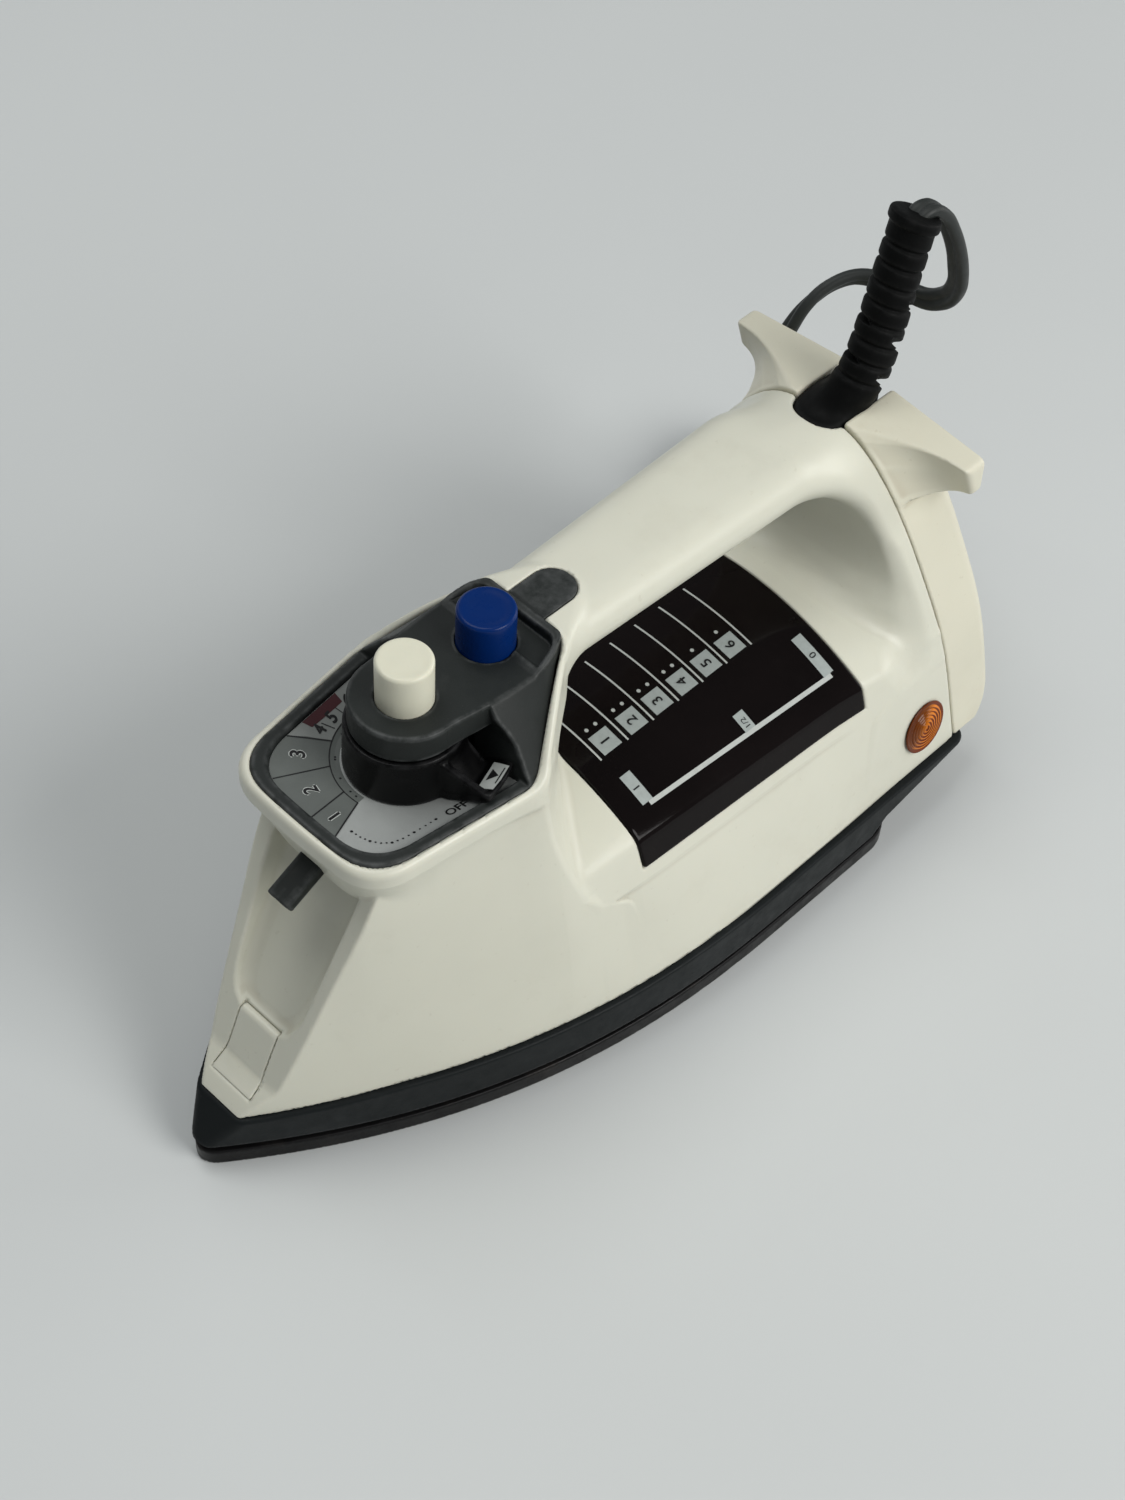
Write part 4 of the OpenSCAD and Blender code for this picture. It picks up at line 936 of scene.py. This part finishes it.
def screws_f(x, y, z):
    f = None
    for sy, sz in ((26, 74), (38, 40)):
        dy, dz = np.abs(y) - sy, z - sz
        hx = heel_x(sz) - 4.0
        d = np.sqrt(dy**2 + dz**2)
        head = smax(d - 3.3, np.abs(x - hx - 1.1) - 1.1 + 0.05 * d * d, 0.5)
        arm = np.minimum(np.maximum(np.abs(dy) - 0.42, np.abs(dz) - 1.75), np.maximum(np.abs(dz) - 0.42, np.abs(dy) - 1.75))
        head = smax(head, -np.maximum(arm, hx + 0.7 - x), 0.2)
        shank = smax(d - 1.5, np.maximum(hx - 16 - x, x - hx - 0.5), 0.4)
        s = np.minimum(head, shank)
        f = s if f is None else np.minimum(f, s)
    return f


screw_parts = []
for sy, sz in ((26, 74), (38, 40)):
    hx = heel_x(sz) - 4.0
    for sgn in (-1, 1):
        screw_parts.append(sculpt(screws_f, (hx - 17, sgn * sy - 4, sz - 4), (hx + 3, sgn * sy + 4, sz + 4), 0.4))
off, vv, qq, nn = 0, [], [], []
for p, q, n, _ in screw_parts:
    vv.append(p), qq.append(q + off), nn.append(n)
    off += len(p)
scr = mesh_obj("heel_screws", np.vstack(vv), np.vstack(qq), M_steel, True, np.vstack(nn))
settle(scr, "iron", ("rear_cover_screws",))


# nose tile
def tile_f(x, y, z):
    a = np.abs(y)
    hw = np.interp(z, [22, 29, 40], [7.2, 6.45, 6.6])
    prof = smax((22.7 + (x - 11.1) * 0.1 - z), (z - (22.6 + (x - 11.1) * NOSE_S)) * 0.78, 0.6)
    lower = smax(prof, x - 23.5, 0.6)
    upper = smax(smax((rim_x(z) - x) * 0.9127, (x - rim_x(z) - 2.3) * 0.9127, 0.8), np.maximum(z - 39.5, 27 - z), 1.0)
    f = smin(lower, upper, 0.8)
    return smax(f, a - hw, 0.4)


solid("nose_tile", tile_f, (9, -8.5, 21.5), (26, 8.5, 41), 0.45, M_ivory, nodes=("nose_cap",), mirror=True)

# ------------------------------------------------------------------ water window
def window_f(x, y, z):
    md = mid_f(x, y, z)
    f = smax(md - 0.28, -(md + 1.9), 0.5)
    f = smax(f, np.maximum(114.35 - x, x - 194.85), 0.7)
    return smax(f, 56.55 - z, 0.6)


solid("window", window_f, (113, -46, 55), (197, 46, 77.5), 0.55, M_smoked, nodes=("water_window",), mirror=True)


# ------------------------------------------------------------------ control cover: bezel, bridge and tongue
def deck_z(x):
    return 122.2 - (x - 71.5) * 0.030


deck_w = curve([(50, 13.6), (72, 13.8), (83, 15.1), (93, 15.9), (100, 16.0), (105, 15.0), (110.5, 12.4)])


def block_top(x, y):
    """Plan outline of the bridge's deck."""
    a = np.abs(y)
    nose = np.sqrt((np.minimum(x - 71.8, 0)) ** 2 + y * y) - 13.75
    sides = np.where(x > 71.8, a - deck_w(x), nose)
    return smax(sides, x - 110.35, 1.6)


def control_f(x, y, z):
    a = np.abs(y)
    b = bezel2(x, y)
    ring = smax(smax(b + 0.03, -(b + 3.4), 0.5), z - 104.6, 0.9)
    ring = smax(ring, 98.1 - z, 0.4)
    bt = block_top(x, y)
    bridge = smax(bt, 114.3 - z, 0.8)
    # rear block falling from the deck to the bezel's rear corner
    rid = deck_w(x)
    foot = 29.2 - 0.67 * np.clip(x - 84.5, -3, 26)
    low = 104.6 + np.clip(x - 84.5, 0, 26) * 0.725
    face = (a - (rid + (foot - rid) * np.clip((deck_z(x) - z) / np.maximum(deck_z(x) - low, 0.6), 0, 1.15))) * 0.75
    rear = smax(b + 0.03, face, 0.8)
    fx = 83.6 + 2.2 * np.clip((z - 104) / 12, 0, 1) * np.clip((118 - z) / 6, 0, 1)
    rear = smax(rear, fx - x, 0.8)
    rear = smax(rear, 98.1 - z, 0.4)
    deck = smax(np.minimum(bridge, rear), z - deck_z(x), 0.8)
    f = smin(ring, deck, 0.6)
    # raised rim round the deck's rear end
    inner = np.maximum(bt + 1.6 + 1.4 * np.clip((x - 106) / 4, 0, 1), 100.0 - x)
    rim = smax(smax(bt, -inner, 0.45), z - np.interp(x, [97, 106, 111], [deck_z(97.0) - 0.3, 123.8, 124.4]), 0.6)
    rim = smax(smax(rim, 98.0 - x, 0.5), 118 - z, 0.5)
    f = smin(f, rim, 0.5)
    tongue = smax(smax(np.sqrt(np.maximum(x - 119.5, 0) ** 2 + y * y) - 6.0, np.abs(z - 122.95) - 0.75, 0.4), 108 - x, 0.4)
    f = smin(f, tongue, 0.4)
    # room for the dial, and the two button holes
    d = np.sqrt((x - 71.5) ** 2 + y * y)
    f = smax(f, -np.maximum(d - 16.0, z - 114.2), 0.5)
    f = smax(f, 7.1 - d, 0.35)
    f = smax(f, 7.35 - np.sqrt((x - 97.5) ** 2 + y * y), 0.35)
    return f


solid("control_cover", control_f, (36, -31, 97), (127.5, 31, 125.5), 0.5, M_grey, nodes=("control_cover",), mirror=True)

# ------------------------------------------------------------------ dial drum with its lever
REST = math.radians(-71.0)


def dial_f(x, y, z):
    dx = x - 71.5
    d = np.sqrt(dx * dx + y * y)
    drum = smax(d - 14.75 - 0.035 * (107 - z), np.abs(z - 107.05) - 7.0, 0.7)
    shaft = np.maximum(d - 4.9, np.abs(z - 75) - 30)
    u = dx * math.cos(REST) + y * math.sin(REST)
    v = -dx * math.sin(REST) + y * math.cos(REST)
    zb = 100.5 + 0.46 * np.clip(u - 15, 0, 12)
    plate = smax(smax(smax(np.abs(v + 0.6) - 6.2, d - 26.3, 1.0), z - zb - 2.1, 0.5), zb - z, 0.5)
    plate = smax(plate, 8 - u, 0.5)
    wedge = smax(smax(np.abs(v + 0.6) - 4.8, z - (110.6 - (u - 14.0) * 1.05), 0.9), u - 20.4, 0.8)
    wedge = smax(smax(wedge, 8 - u, 0.5), zb - z, 0.4)
    # upright finger fin along the lever's leading edge
    fin = smax(smax(np.abs(v + 6.1) - 0.95, z - (112.4 - (u - 12.0) * 0.42), 0.7), d - 26.4, 0.7)
    fin = smax(smax(fin, 8 - u, 0.5), zb - z, 0.4)
    f = smin(smin(drum, plate, 0.7), smin(wedge, fin, 0.8), 0.8)
    f = np.minimum(f, shaft)
    f = smax(f, 2.65 - d, 0.2)
    return smax(f, -np.maximum(d - 8.6, 107 - z), 0.5)


solid("dial", dial_f, (46, -28.5, 98.8), (98, 18, 117), 0.45, M_black, "dial", ("thermostat_dial",))

# ------------------------------------------------------------------ buttons
def cap(name, x, r, z0, z1, mt, node, body, dish):
    prof = [(0, z0), (r - 0.25, z0), (r - 0.02, z0 + 0.3), (r, z0 + 4), (r, z1 - 2.2)]
    for i in range(7):
        a = i / 6 * math.pi / 2
        prof.append((r - 0.95 + 0.95 * math.cos(a), z1 - 0.95 + 0.95 * math.sin(a)))
    prof += [(r - 1.5, z1 - 0.02), (r - 2.2, z1 - dish * 0.7), (r - 3.2, z1 - dish), (2.2, z1 - dish * 1.05), (0, z1 - dish * 1.05)]
    return lathe(name, prof, (x, 0, 0), (0, 0, 1), mt, 96, body, (node,))


cap("steam_cap", 71.5, 6.95, 117.5, 134.84, M_cap, "steam_button", "steam_key", 0.12)
cap("spray_cap", 97.5, 7.2, 114.5, 132.49, M_blue, "spray_button", "spray_key", 0.22)


# ------------------------------------------------------------------ spray nozzle, leaning down out of the brow
def nozzle_f(x, y, z):
    ca, sa = math.cos(math.radians(27)), math.sin(math.radians(27))
    dx, dz = x - 31.0, z - 80.6
    u, w = dx * ca + dz * sa, -dx * sa + dz * ca
    f = smax(np.abs(y) - 3.6, np.abs(w) - 2.3, 1.6)
    f = smax(f, np.maximum(-u, u - 20), 0.7)
    rr = np.sqrt(y * y + w * w)
    f = smax(f, -np.maximum(rr - 0.75, u - 2.4), 0.2)
    tip = smax(np.abs(rr - 1.5) - 0.3, u - 0.25, 0.2)
    return smax(f, -tip, 0.2)


solid("nozzle", nozzle_f, (28, -5, 76), (52, 5, 93), 0.4, M_grey, nodes=("spray_nozzle",), mirror=True)

# ------------------------------------------------------------------ pilot lens
ln = np.array((0.0, -0.982, 0.189))
lc = np.array((217.9, -50.35, 34.88))
prof = [(0, -1.0), (7.4, -1.0), (7.5, 0.72), (8.0, 0.78), (7.95, 1.0), (7.7, 1.14), (7.1, 1.1)]
# slot 1, the darker amber, goes on the rim flange and on the groove faces between the rings: painted shade
sl = [0, 0, 1, 1, 1, 1]
rr = 6.8
while rr > 0.7:
    zt = 1.75 - 0.012 * rr * rr
    for dr, dz in ((0.0, -0.30), (0.32, 0.16), (0.62, 0.16), (0.95, -0.30)):
        prof.append((rr - dr, zt + dz))
        sl.append(1 if dz < 0 else 0)
    rr -= 1.05
prof.append((0, 1.8))
sl.append(0)
lathe("pilot_lens", prof, lc, ln, [M_amber, M_amber_groove_shade], 80, "iron", ("pilot_lens",), sl)


# ------------------------------------------------------------------ ribbed cord boot
BT = math.radians(24.0)
bx, bz = 223.2, 118.9
boot_w = curve([(-14, 4.9), (-2.4, 1.7), (4.2, 2.95), (11.1, 3.8), (21.6, 3.95), (33.2, 3.05), (44.9, 2.2), (52.5, 1.6), (60, 1.1)])
boot_y = curve([(-14, 0.0), (-2.4, -0.6), (4.2, -2.4), (11.1, -3.0), (21.6, -2.2), (33.2, -1.2), (44.9, -0.4), (52.5, 0.0), (60, 0.0)])


def boot_f(x, y, z):
    dx, dz = x - bx, z - bz
    u = dx * math.sin(BT) + dz * math.cos(BT)
    w = dx * math.cos(BT) - dz * math.sin(BT) - boot_w(u)
    v = y - boot_y(u)
    r = np.sqrt(w * w + v * v)
    ph = np.mod(u - 5.0, 5.2)
    taper = 6.75 - 0.012 * np.clip(u, 0, 52)
    groove = 0.75 * np.exp(-((ph - 2.6) / 0.62) ** 2) * np.clip((u - 6) / 2, 0, 1) * np.clip((47.5 - u) / 1.5, 0, 1)
    neck = (r - (taper - groove)) * 0.9
    neck = smax(neck, np.maximum(-6 - u, u - 52.4), 1.0)
    collar = smax(r - 7.0, np.abs(u - 50.8) - 1.5, 0.8)
    neck = smin(neck, collar, 0.6)
    cap_ = np.sqrt(np.minimum(x - 219.3, 0) ** 2 + np.maximum(x - 229.5, 0) ** 2 + y * y) - 7.75
    dome = smax(cap_, z - (118.3 + 0.9 * np.clip((x - 214) / 12, 0, 1) - 0.022 * y * y), 1.8)
    dome = smax(dome, 98 - z, 0.6)
    dome = smax(dome, x - 237.2, 1.0)
    f = smin(neck, dome, 3.0)
    # open slits on alternate sides of the lower turns
    side = w * 0.70 - v * 0.72
    slant = 0.59 * (0.72 * w + 0.70 * v)
    for uu, sg, dep, hh in ((6.9, 1, 4.6, 1.45), (17.5, 1, 4.4, 1.5), (28.2, 1, 2.6, 0.9), (12.6, -1, 3.4, 0.8), (23.0, -1, 3.0, 0.8)):
        uc = u - uu + (slant if sg > 0 else 0.0)
        sl_ = np.maximum(np.abs(uc) - hh * np.clip(0.30 + (side * sg - 1.0) / 7.0, 0.25, 1.3), 6.9 - dep - side * sg)
        f = smax(f, -sl_, 0.35)
    return f


solid("boot", boot_f, (209, -11.5, 96.5), (256, 11.5, 170), 0.55, M_rubber, nodes=("cord_boot",))

# ------------------------------------------------------------------ skirt
VENTS = [(x, S(x) - 15.5) for x in range(46, 177, 13)] + [(33, 0.0), (33, 8.0), (24, 0.0)]


def sole_f(x, y, z):
    """Sole: rounded tip and edges, steam holes, and the ribs on its hidden upper side."""
    a = np.abs(y)
    side = (a - S(x)) * np.interp(x, [0, 20, 60, 160], [0.72, 0.80, 0.90, 1.0])
    qx, qa = x - 198.0, side + 12.0
    plan = np.minimum(np.maximum(qx, qa), 0) + np.hypot(np.maximum(qx, 0), np.maximum(qa, 0)) - 12.0
    plan = smax(plan, 0.0 - x, 2.8)
    f = smax(plan, np.abs(z - 2.75) - 2.75, 0.6)
    zz = np.abs(z - 8.0) - 4.0
    rim = np.maximum(np.abs(side + 7.5) - 1.5, np.maximum(16.0 - x, x - 205.0))
    back = np.maximum(np.abs(x - 203.5) - 1.5, side + 6.0)
    way = np.where(x > 75.0, np.abs(a - 26.0), np.abs(np.hypot(x - 75.0, a) - 26.0))
    top = np.maximum(np.minimum(np.minimum(rim, back), np.maximum(way - 5.5, x - 199.0)), zz)
    f = np.minimum(f, top)
    f = smax(f, 3.25 - np.sqrt(way**2 + (z - 8.72) ** 2), 0.2)
    hole = None
    for vx, vy in VENTS:
        d = np.hypot(x - vx, a - vy) - 1.8
        hole = d if hole is None else np.minimum(hole, d)
    return smax(f, -hole, 0.5)


solid("sole", sole_f, (-1.5, -56, -0.9), (212, 56, 13.2), 0.7, M_sole, nodes=("soleplate",), mirror=True)


def skirt_f(x, y, z):
    a = np.abs(y)
    zt = base_z(x)
    yy = S(x) + 0.5
    side = (a - yy) * np.interp(x, [0, 20, 60, 160], [0.72, 0.80, 0.90, 1.0])
    corner = np.sqrt(np.maximum(x - 231.5, 0) ** 2 + np.maximum(a - (yy - 5.0), 0) ** 2) - 5.0
    plan = np.where((x > 231.5) & (a > yy - 5.0), corner, np.maximum(side, x - 236.5))
    facet = (-0.6 + (z - 8.0) * 0.76 - x) * 0.79
    f = smax(plan, facet, 1.6)
    lo_ = np.interp(x, [196.5, 202.0, 236.5], [8.0, 12.4, 19.7])
    f = smax(f, z - zt, 0.9)
    f = smax(f, (lo_ - z) * 0.95, 0.9)
    # hollow underneath
    return smax(f, -np.maximum(smax(side, facet, 1.6) + 9.0, np.maximum(x - 226, z - zt + 3.0)), 0.5)


solid("skirt", skirt_f, (-2.5, -57, 6.5), (238, 57, 22), 0.8, M_charcoal, nodes=("skirt",), mirror=True)

# ------------------------------------------------------------------ printed scale on the dial plate
def plate_r(t):
    lo_, hi_ = 5.0, 60.0
    for _ in range(40):
        md = 0.5 * (lo_ + hi_)
        if float(bezel2(np.array(71.5 + md * math.cos(t)), np.array(md * math.sin(t)))) < -3.35:
            lo_ = md
        else:
            hi_ = md
    return lo_


EDGE_T = np.radians(np.arange(0, 361, 1.0))
EDGE_R = np.array([plate_r(t) for t in EDGE_T])


def edge_r(t):
    return float(np.interp(t % (2 * math.pi), EDGE_T, EDGE_R))


def on_dish(dz):
    """Places a point of the plan on the dished plate, dz above it."""
    def place(x, y):
        r = math.hypot(x - 71.5, y)
        e = edge_r(math.atan2(y, x - 71.5))
        return (x, y, 99.95 + 3.3 * min(1.0, max(0.0, (r - 16.0) / (e - 16.0))) + dz)
    return place


dv, df = [], []
rings = [(5.3, 98.15), (5.3, 99.75), (5.5, 99.95), (16.0, 99.95), (-0.25, 103.2), (0.0, 102.9), (0.0, 98.15)]
nt_ = len(EDGE_T) - 1
for r, z in rings:
    for t, e in zip(EDGE_T[:-1], EDGE_R[:-1]):
        q = r if r > 1 else e + r
        dv.append((71.5 + q * math.cos(t), q * math.sin(t), z))
for j in range(len(rings)):
    j2 = (j + 1) % len(rings)
    for k in range(nt_):
        k2 = (k + 1) % nt_
        df.append((j * nt_ + k, j2 * nt_ + k, j2 * nt_ + k2, j * nt_ + k2))
dish = mesh_obj("dial_dish", dv, np.array(df)[:, ::-1], M_silver)
auto(dish, 30)
settle(dish, "iron", ("dial_plate",))


def sector(verts, faces, sl, a0, a1, r0, r1, dz, mt, twist=0.0):
    n = max(2, int(abs(a1 - a0)) + 1)
    base = len(verts)
    pl = on_dish(dz)
    for i in range(n + 1):
        a = a0 + (a1 - a0) * i / n
        for r, tw in ((r0, 0.0), (0.5 * (r0 + min(r1, 30)), twist * 0.5), (r1, twist)):
            t = math.radians(a + tw)
            ro = edge_r(t) - 0.3
            q = min(r, ro)
            verts.append(pl(71.5 + q * math.cos(t), q * math.sin(t)))
    for i in range(n):
        for m_ in (0, 1):
            b = base + 3 * i + m_
            faces.append((b, b + 1, b + 4, b + 3))
            sl.append(mt)


def line(verts, faces, sl, p, q, w, dz, mt, cuts=8):
    p, q = np.array(p, float), np.array(q, float)
    d = (q - p) / np.linalg.norm(q - p)
    n = np.array((-d[1], d[0])) * w / 2
    b = len(verts)
    pl = on_dish(dz)
    for i in range(cuts + 1):
        c = p + (q - p) * i / cuts
        for sg in (-1, 1):
            verts.append(pl(*(c + n * sg)))
    for i in range(cuts):
        faces.append((b + 2 * i, b + 2 * i + 2, b + 2 * i + 3, b + 2 * i + 1))
        sl.append(mt)


def disc(verts, faces, sl, c, r, dz, mt, n=12):
    b = len(verts)
    pl = on_dish(dz)
    for i in range(n):
        verts.append(pl(c[0] + r * math.cos(2 * math.pi * i / n), c[1] + r * math.sin(2 * math.pi * i / n)))
    faces.append(tuple(range(b, b + n)))
    sl.append(mt)


def glyph(text, size):
    """Flat triangles of a short plain figure, centred, in its own x and y."""
    cu = bpy.data.curves.new("glyph", "FONT")
    cu.body = text
    cu.size = size
    cu.align_x, cu.align_y = "CENTER", "CENTER"
    cu.resolution_u = 4
    ob = bpy.data.objects.new("glyph", cu)
    bpy.context.scene.collection.objects.link(ob)
    bpy.context.view_layer.update()
    me = bpy.data.meshes.new_from_object(ob.evaluated_get(bpy.context.evaluated_depsgraph_get()))
    v = np.array([q.co[:] for q in me.vertices])[:, :2]
    fc = [tuple(p.vertices) for p in me.polygons]
    v -= (v.max(0) + v.min(0)) / 2
    bpy.data.objects.remove(ob)
    bpy.data.curves.remove(cu)
    bpy.data.meshes.remove(me)
    return v, fc


def put_text(verts, faces, sl, text, size, at, along, mt, place, bold=0.0):
    v, fc = glyph(text, size)
    along = np.array(along, float)
    along /= np.linalg.norm(along)
    upv = np.array((-along[1], along[0]))
    for ox, oy in ((0, 0),) if not bold else ((0, 0), (bold, 0), (-bold, 0), (0, bold), (0, -bold)):
        b = len(verts)
        for q in v:
            p = np.array(at) + along * (q[0] + ox) + upv * (q[1] + oy)
            verts.append(place(p[0], p[1]))
        for q in fc:
            faces.append(tuple(b + i for i in q))
            sl.append(mt)


pv, pf, ps = [], [], []
pm = [M_sector, M_sector2, M_ink, M_red, M_white, M_silver]
sector(pv, pf, ps, 122.2, 188.8, 17.9, 60, 0.08, 0, 7.0)
sector(pv, pf, ps, 62, 122.2, 17.9, 60, 0.08, 1, 7.0)
sector(pv, pf, ps, 62, 188.8, 15.4, 17.7, 0.05, 0)
for a in (122.2, 146.6, 173.8, 188.8):
    t0, t1 = math.radians(a), math.radians(a + 6.6)
    r1 = edge_r(t1) - 0.3
    line(pv, pf, ps, (71.5 + 17.7 * math.cos(t0), 17.7 * math.sin(t0)), (71.5 + r1 * math.cos(t1), r1 * math.sin(t1)), 0.36, 0.15, 2)
for a in (111, 96):
    t0, t1 = math.radians(a), math.radians(a + 2)
    line(pv, pf, ps, (71.5 + 18.4 * math.cos(t0), 18.4 * math.sin(t0)), (71.5 + 21.6 * math.cos(t1), 21.6 * math.sin(t1)), 0.25, 0.15, 2)
sector(pv, pf, ps, 62, 188.8, 17.62, 17.95, 0.09, 2)
for a in (183, 176.2, 160, 139.5, 137, 112, 109, 106):
    t = math.radians(a)
    disc(pv, pf, ps, (71.5 + 16.4 * math.cos(t), 16.4 * math.sin(t)), 0.30, 0.10, 2)
for i in range(24):
    a0 = 118.5 - 27.5 * i / 24
    a1 = 118.5 - 27.5 * (i + 1) / 24
    b = len(pv)
    for a, o in ((a0, 2.9), (a0, 0.35), (a1, 0.35), (a1, 2.9)):
        t = math.radians(a)
        r = edge_r(t) - o
        pv.append(on_dish(0.15)(71.5 + r * math.cos(t), r * math.sin(t)))
    pf.append((b, b + 1, b + 2, b + 3))
    ps.append(3)
for txt, at in (("1", (46.4, -3.0)), ("2", (47.7, 6.6)), ("3", (52.7, 16.7)), ("4", (61.6, 18.9)), ("5", (66.2, 19.8)), ("6", (72.4, 21.0))):
    outw = np.array((at[0] - 71.5, at[1]))
    outw /= np.linalg.norm(outw)
    along = (outw[1], -outw[0])
    if txt in "123":
        put_text(pv, pf, ps, txt, 5.0, at, along, 4, on_dish(0.16), 0.36)
    put_text(pv, pf, ps, txt, 5.0 if txt in "123" else 4.3, at, along, 2, on_dish(0.21), 0.12)
arc = np.array([(46.3, -9.0), (46.6, -11.6), (47.4, -14.0), (48.8, -16.2), (50.7, -17.8), (53.4, -18.6), (56.5, -19.0), (59.8, -19.3), (62.9, -19.5)])
for i in range(17):
    q = np.array([np.interp(i / 2.0, np.arange(9), arc[:, k]) for k in (0, 1)])
    disc(pv, pf, ps, q, 0.26 if i % 4 else 0.38, 0.10, 2, 8)
put_text(pv, pf, ps, "OFF", 3.4, (68.6, -20.4), (0.99, -0.12), 2, on_dish(0.10), 0.08)
scale = mesh_obj("dial_scale", pv, pf, pm, False, None, ps)
settle(scale, "iron", ())

# pointer mark on the lever
lv, lf, lsl = [], [], []


def lever_at(u, v, z):
    return (71.5 + u * math.cos(REST) - v * math.sin(REST), u * math.sin(REST) + v * math.cos(REST), z)


for poly, dz, mt in (([(21.2, -4.5), (25.2, -4.5), (25.6, -1.2), (25.5, 3.4), (21.2, 4.3)], 0.06, 0),
                     ([(22.0, -1.9), (24.4, 0.0), (22.0, 1.9)], 0.11, 1), ([(24.6, -2.6), (24.95, -2.6), (24.95, 2.6), (24.6, 2.6)], 0.11, 1)):
    b = len(lv)
    for u, v in poly:
        lv.append(lever_at(u, v, 102.6 + 0.46 * (u - 15) + dz))
    lf.append(tuple(range(b, b + len(poly))))
    lsl.append(mt)
mark = mesh_obj("lever_mark", lv, lf, [M_white, M_ink], False, None, lsl)
settle(mark, "dial", ())

# ------------------------------------------------------------------ printed scale on the window
def on_window(dz):
    def place(x, y):
        yy = np.array(float(y))
        z = float(saddle_z(np.array(float(x)), np.abs(yy)))
        s = 2 * 10.2 * float(yy) / (38.0 + (x - 114) * 0.05) ** 2
        n = np.array((0, s, 1.0)) / math.hypot(s, 1.0)
        o = 0.42 + dz
        return (x, y + n[1] * o, z + n[2] * o)
    return place


wv, wf, ws = [], [], []
wm = [M_white, M_box, M_ink]


def wline(p, q, w, dz, mt, cuts=14):
    p, q = np.array(p, float), np.array(q, float)
    d = (q - p) / np.linalg.norm(q - p)
    n = np.array((-d[1], d[0])) * w / 2
    pl = on_window(dz)
    b = len(wv)
    for i in range(cuts + 1):
        c = p + (q - p) * i / cuts
        for s in (-1, 1):
            wv.append(pl(*(c + n * s)))
    for i in range(cuts):
        wf.append((b + 2 * i, b + 2 * i + 2, b + 2 * i + 3, b + 2 * i + 1))
        ws.append(mt)


def wdot(c, r, dz, mt, n=12):
    pl = on_window(dz)
    b = len(wv)
    for i in range(n):
        wv.append(pl(c[0] + r * math.cos(2 * math.pi * i / n), c[1] + r * math.sin(2 * math.pi * i / n)))
    wf.append(tuple(range(b, b + n)))
    ws.append(mt)


bx_ = [125.9, 135.6, 145.0, 154.3, 163.5, 172.7]
for sgn in (-1,):
    for i, x in enumerate(bx_):
        wline((x - 3.15, sgn * 15.0), (x + 3.15, sgn * 15.0), 6.0, 0.0, 1, 6)
        put_text(wv, wf, ws, str(i + 1), 4.2, (x, sgn * 15.0), (0, 1), 2, on_window(0.05), 0.06)
        wline((x - 4.75, sgn * 18.4), (x - 4.75, sgn * -6.0), 0.55, 0.0, 0, 22)
        if i == 5:
            wline((x + 4.75, sgn * 18.4), (x + 4.75, sgn * -6.0), 0.55, 0.0, 0, 22)
        for k in ((-1.6, 1.6) if i < 4 else (0.0,)):
            wdot((x + k, sgn * 10.0), 0.55, 0.0, 0)
    wline((123.4, sgn * 33.3), (189.4, sgn * 36.6), 1.15, 0.0, 0, 20)
    for x, yb, ln_ in ((123.2, 33.2, 8.8), (159.8, 35.0, 5.4), (188.9, 36.4, 12.6)):
        wline((x, sgn * (yb - 0.4)), (x, sgn * (yb - ln_)), 3.6, 0.02, 1, 8)
    for x, y, txt in ((123.2, 28.7, "1"), (188.9, 30.0, "0")):
        put_text(wv, wf, ws, txt, 3.0, (x, sgn * y), (0, 1), 2, on_window(0.06), 0.04)
    put_text(wv, wf, ws, "1/2", 2.3, (159.8, sgn * 32.5), (0, 1), 2, on_window(0.06), 0.02)
prints = mesh_obj("window_scale", wv, wf, wm, False, None, ws)
settle(prints, "iron", ())

# ------------------------------------------------------------------ cord facts
row1((243.8, 0, 161))
[tuple(float(c) for c in q) for q in row(cord_pts)]
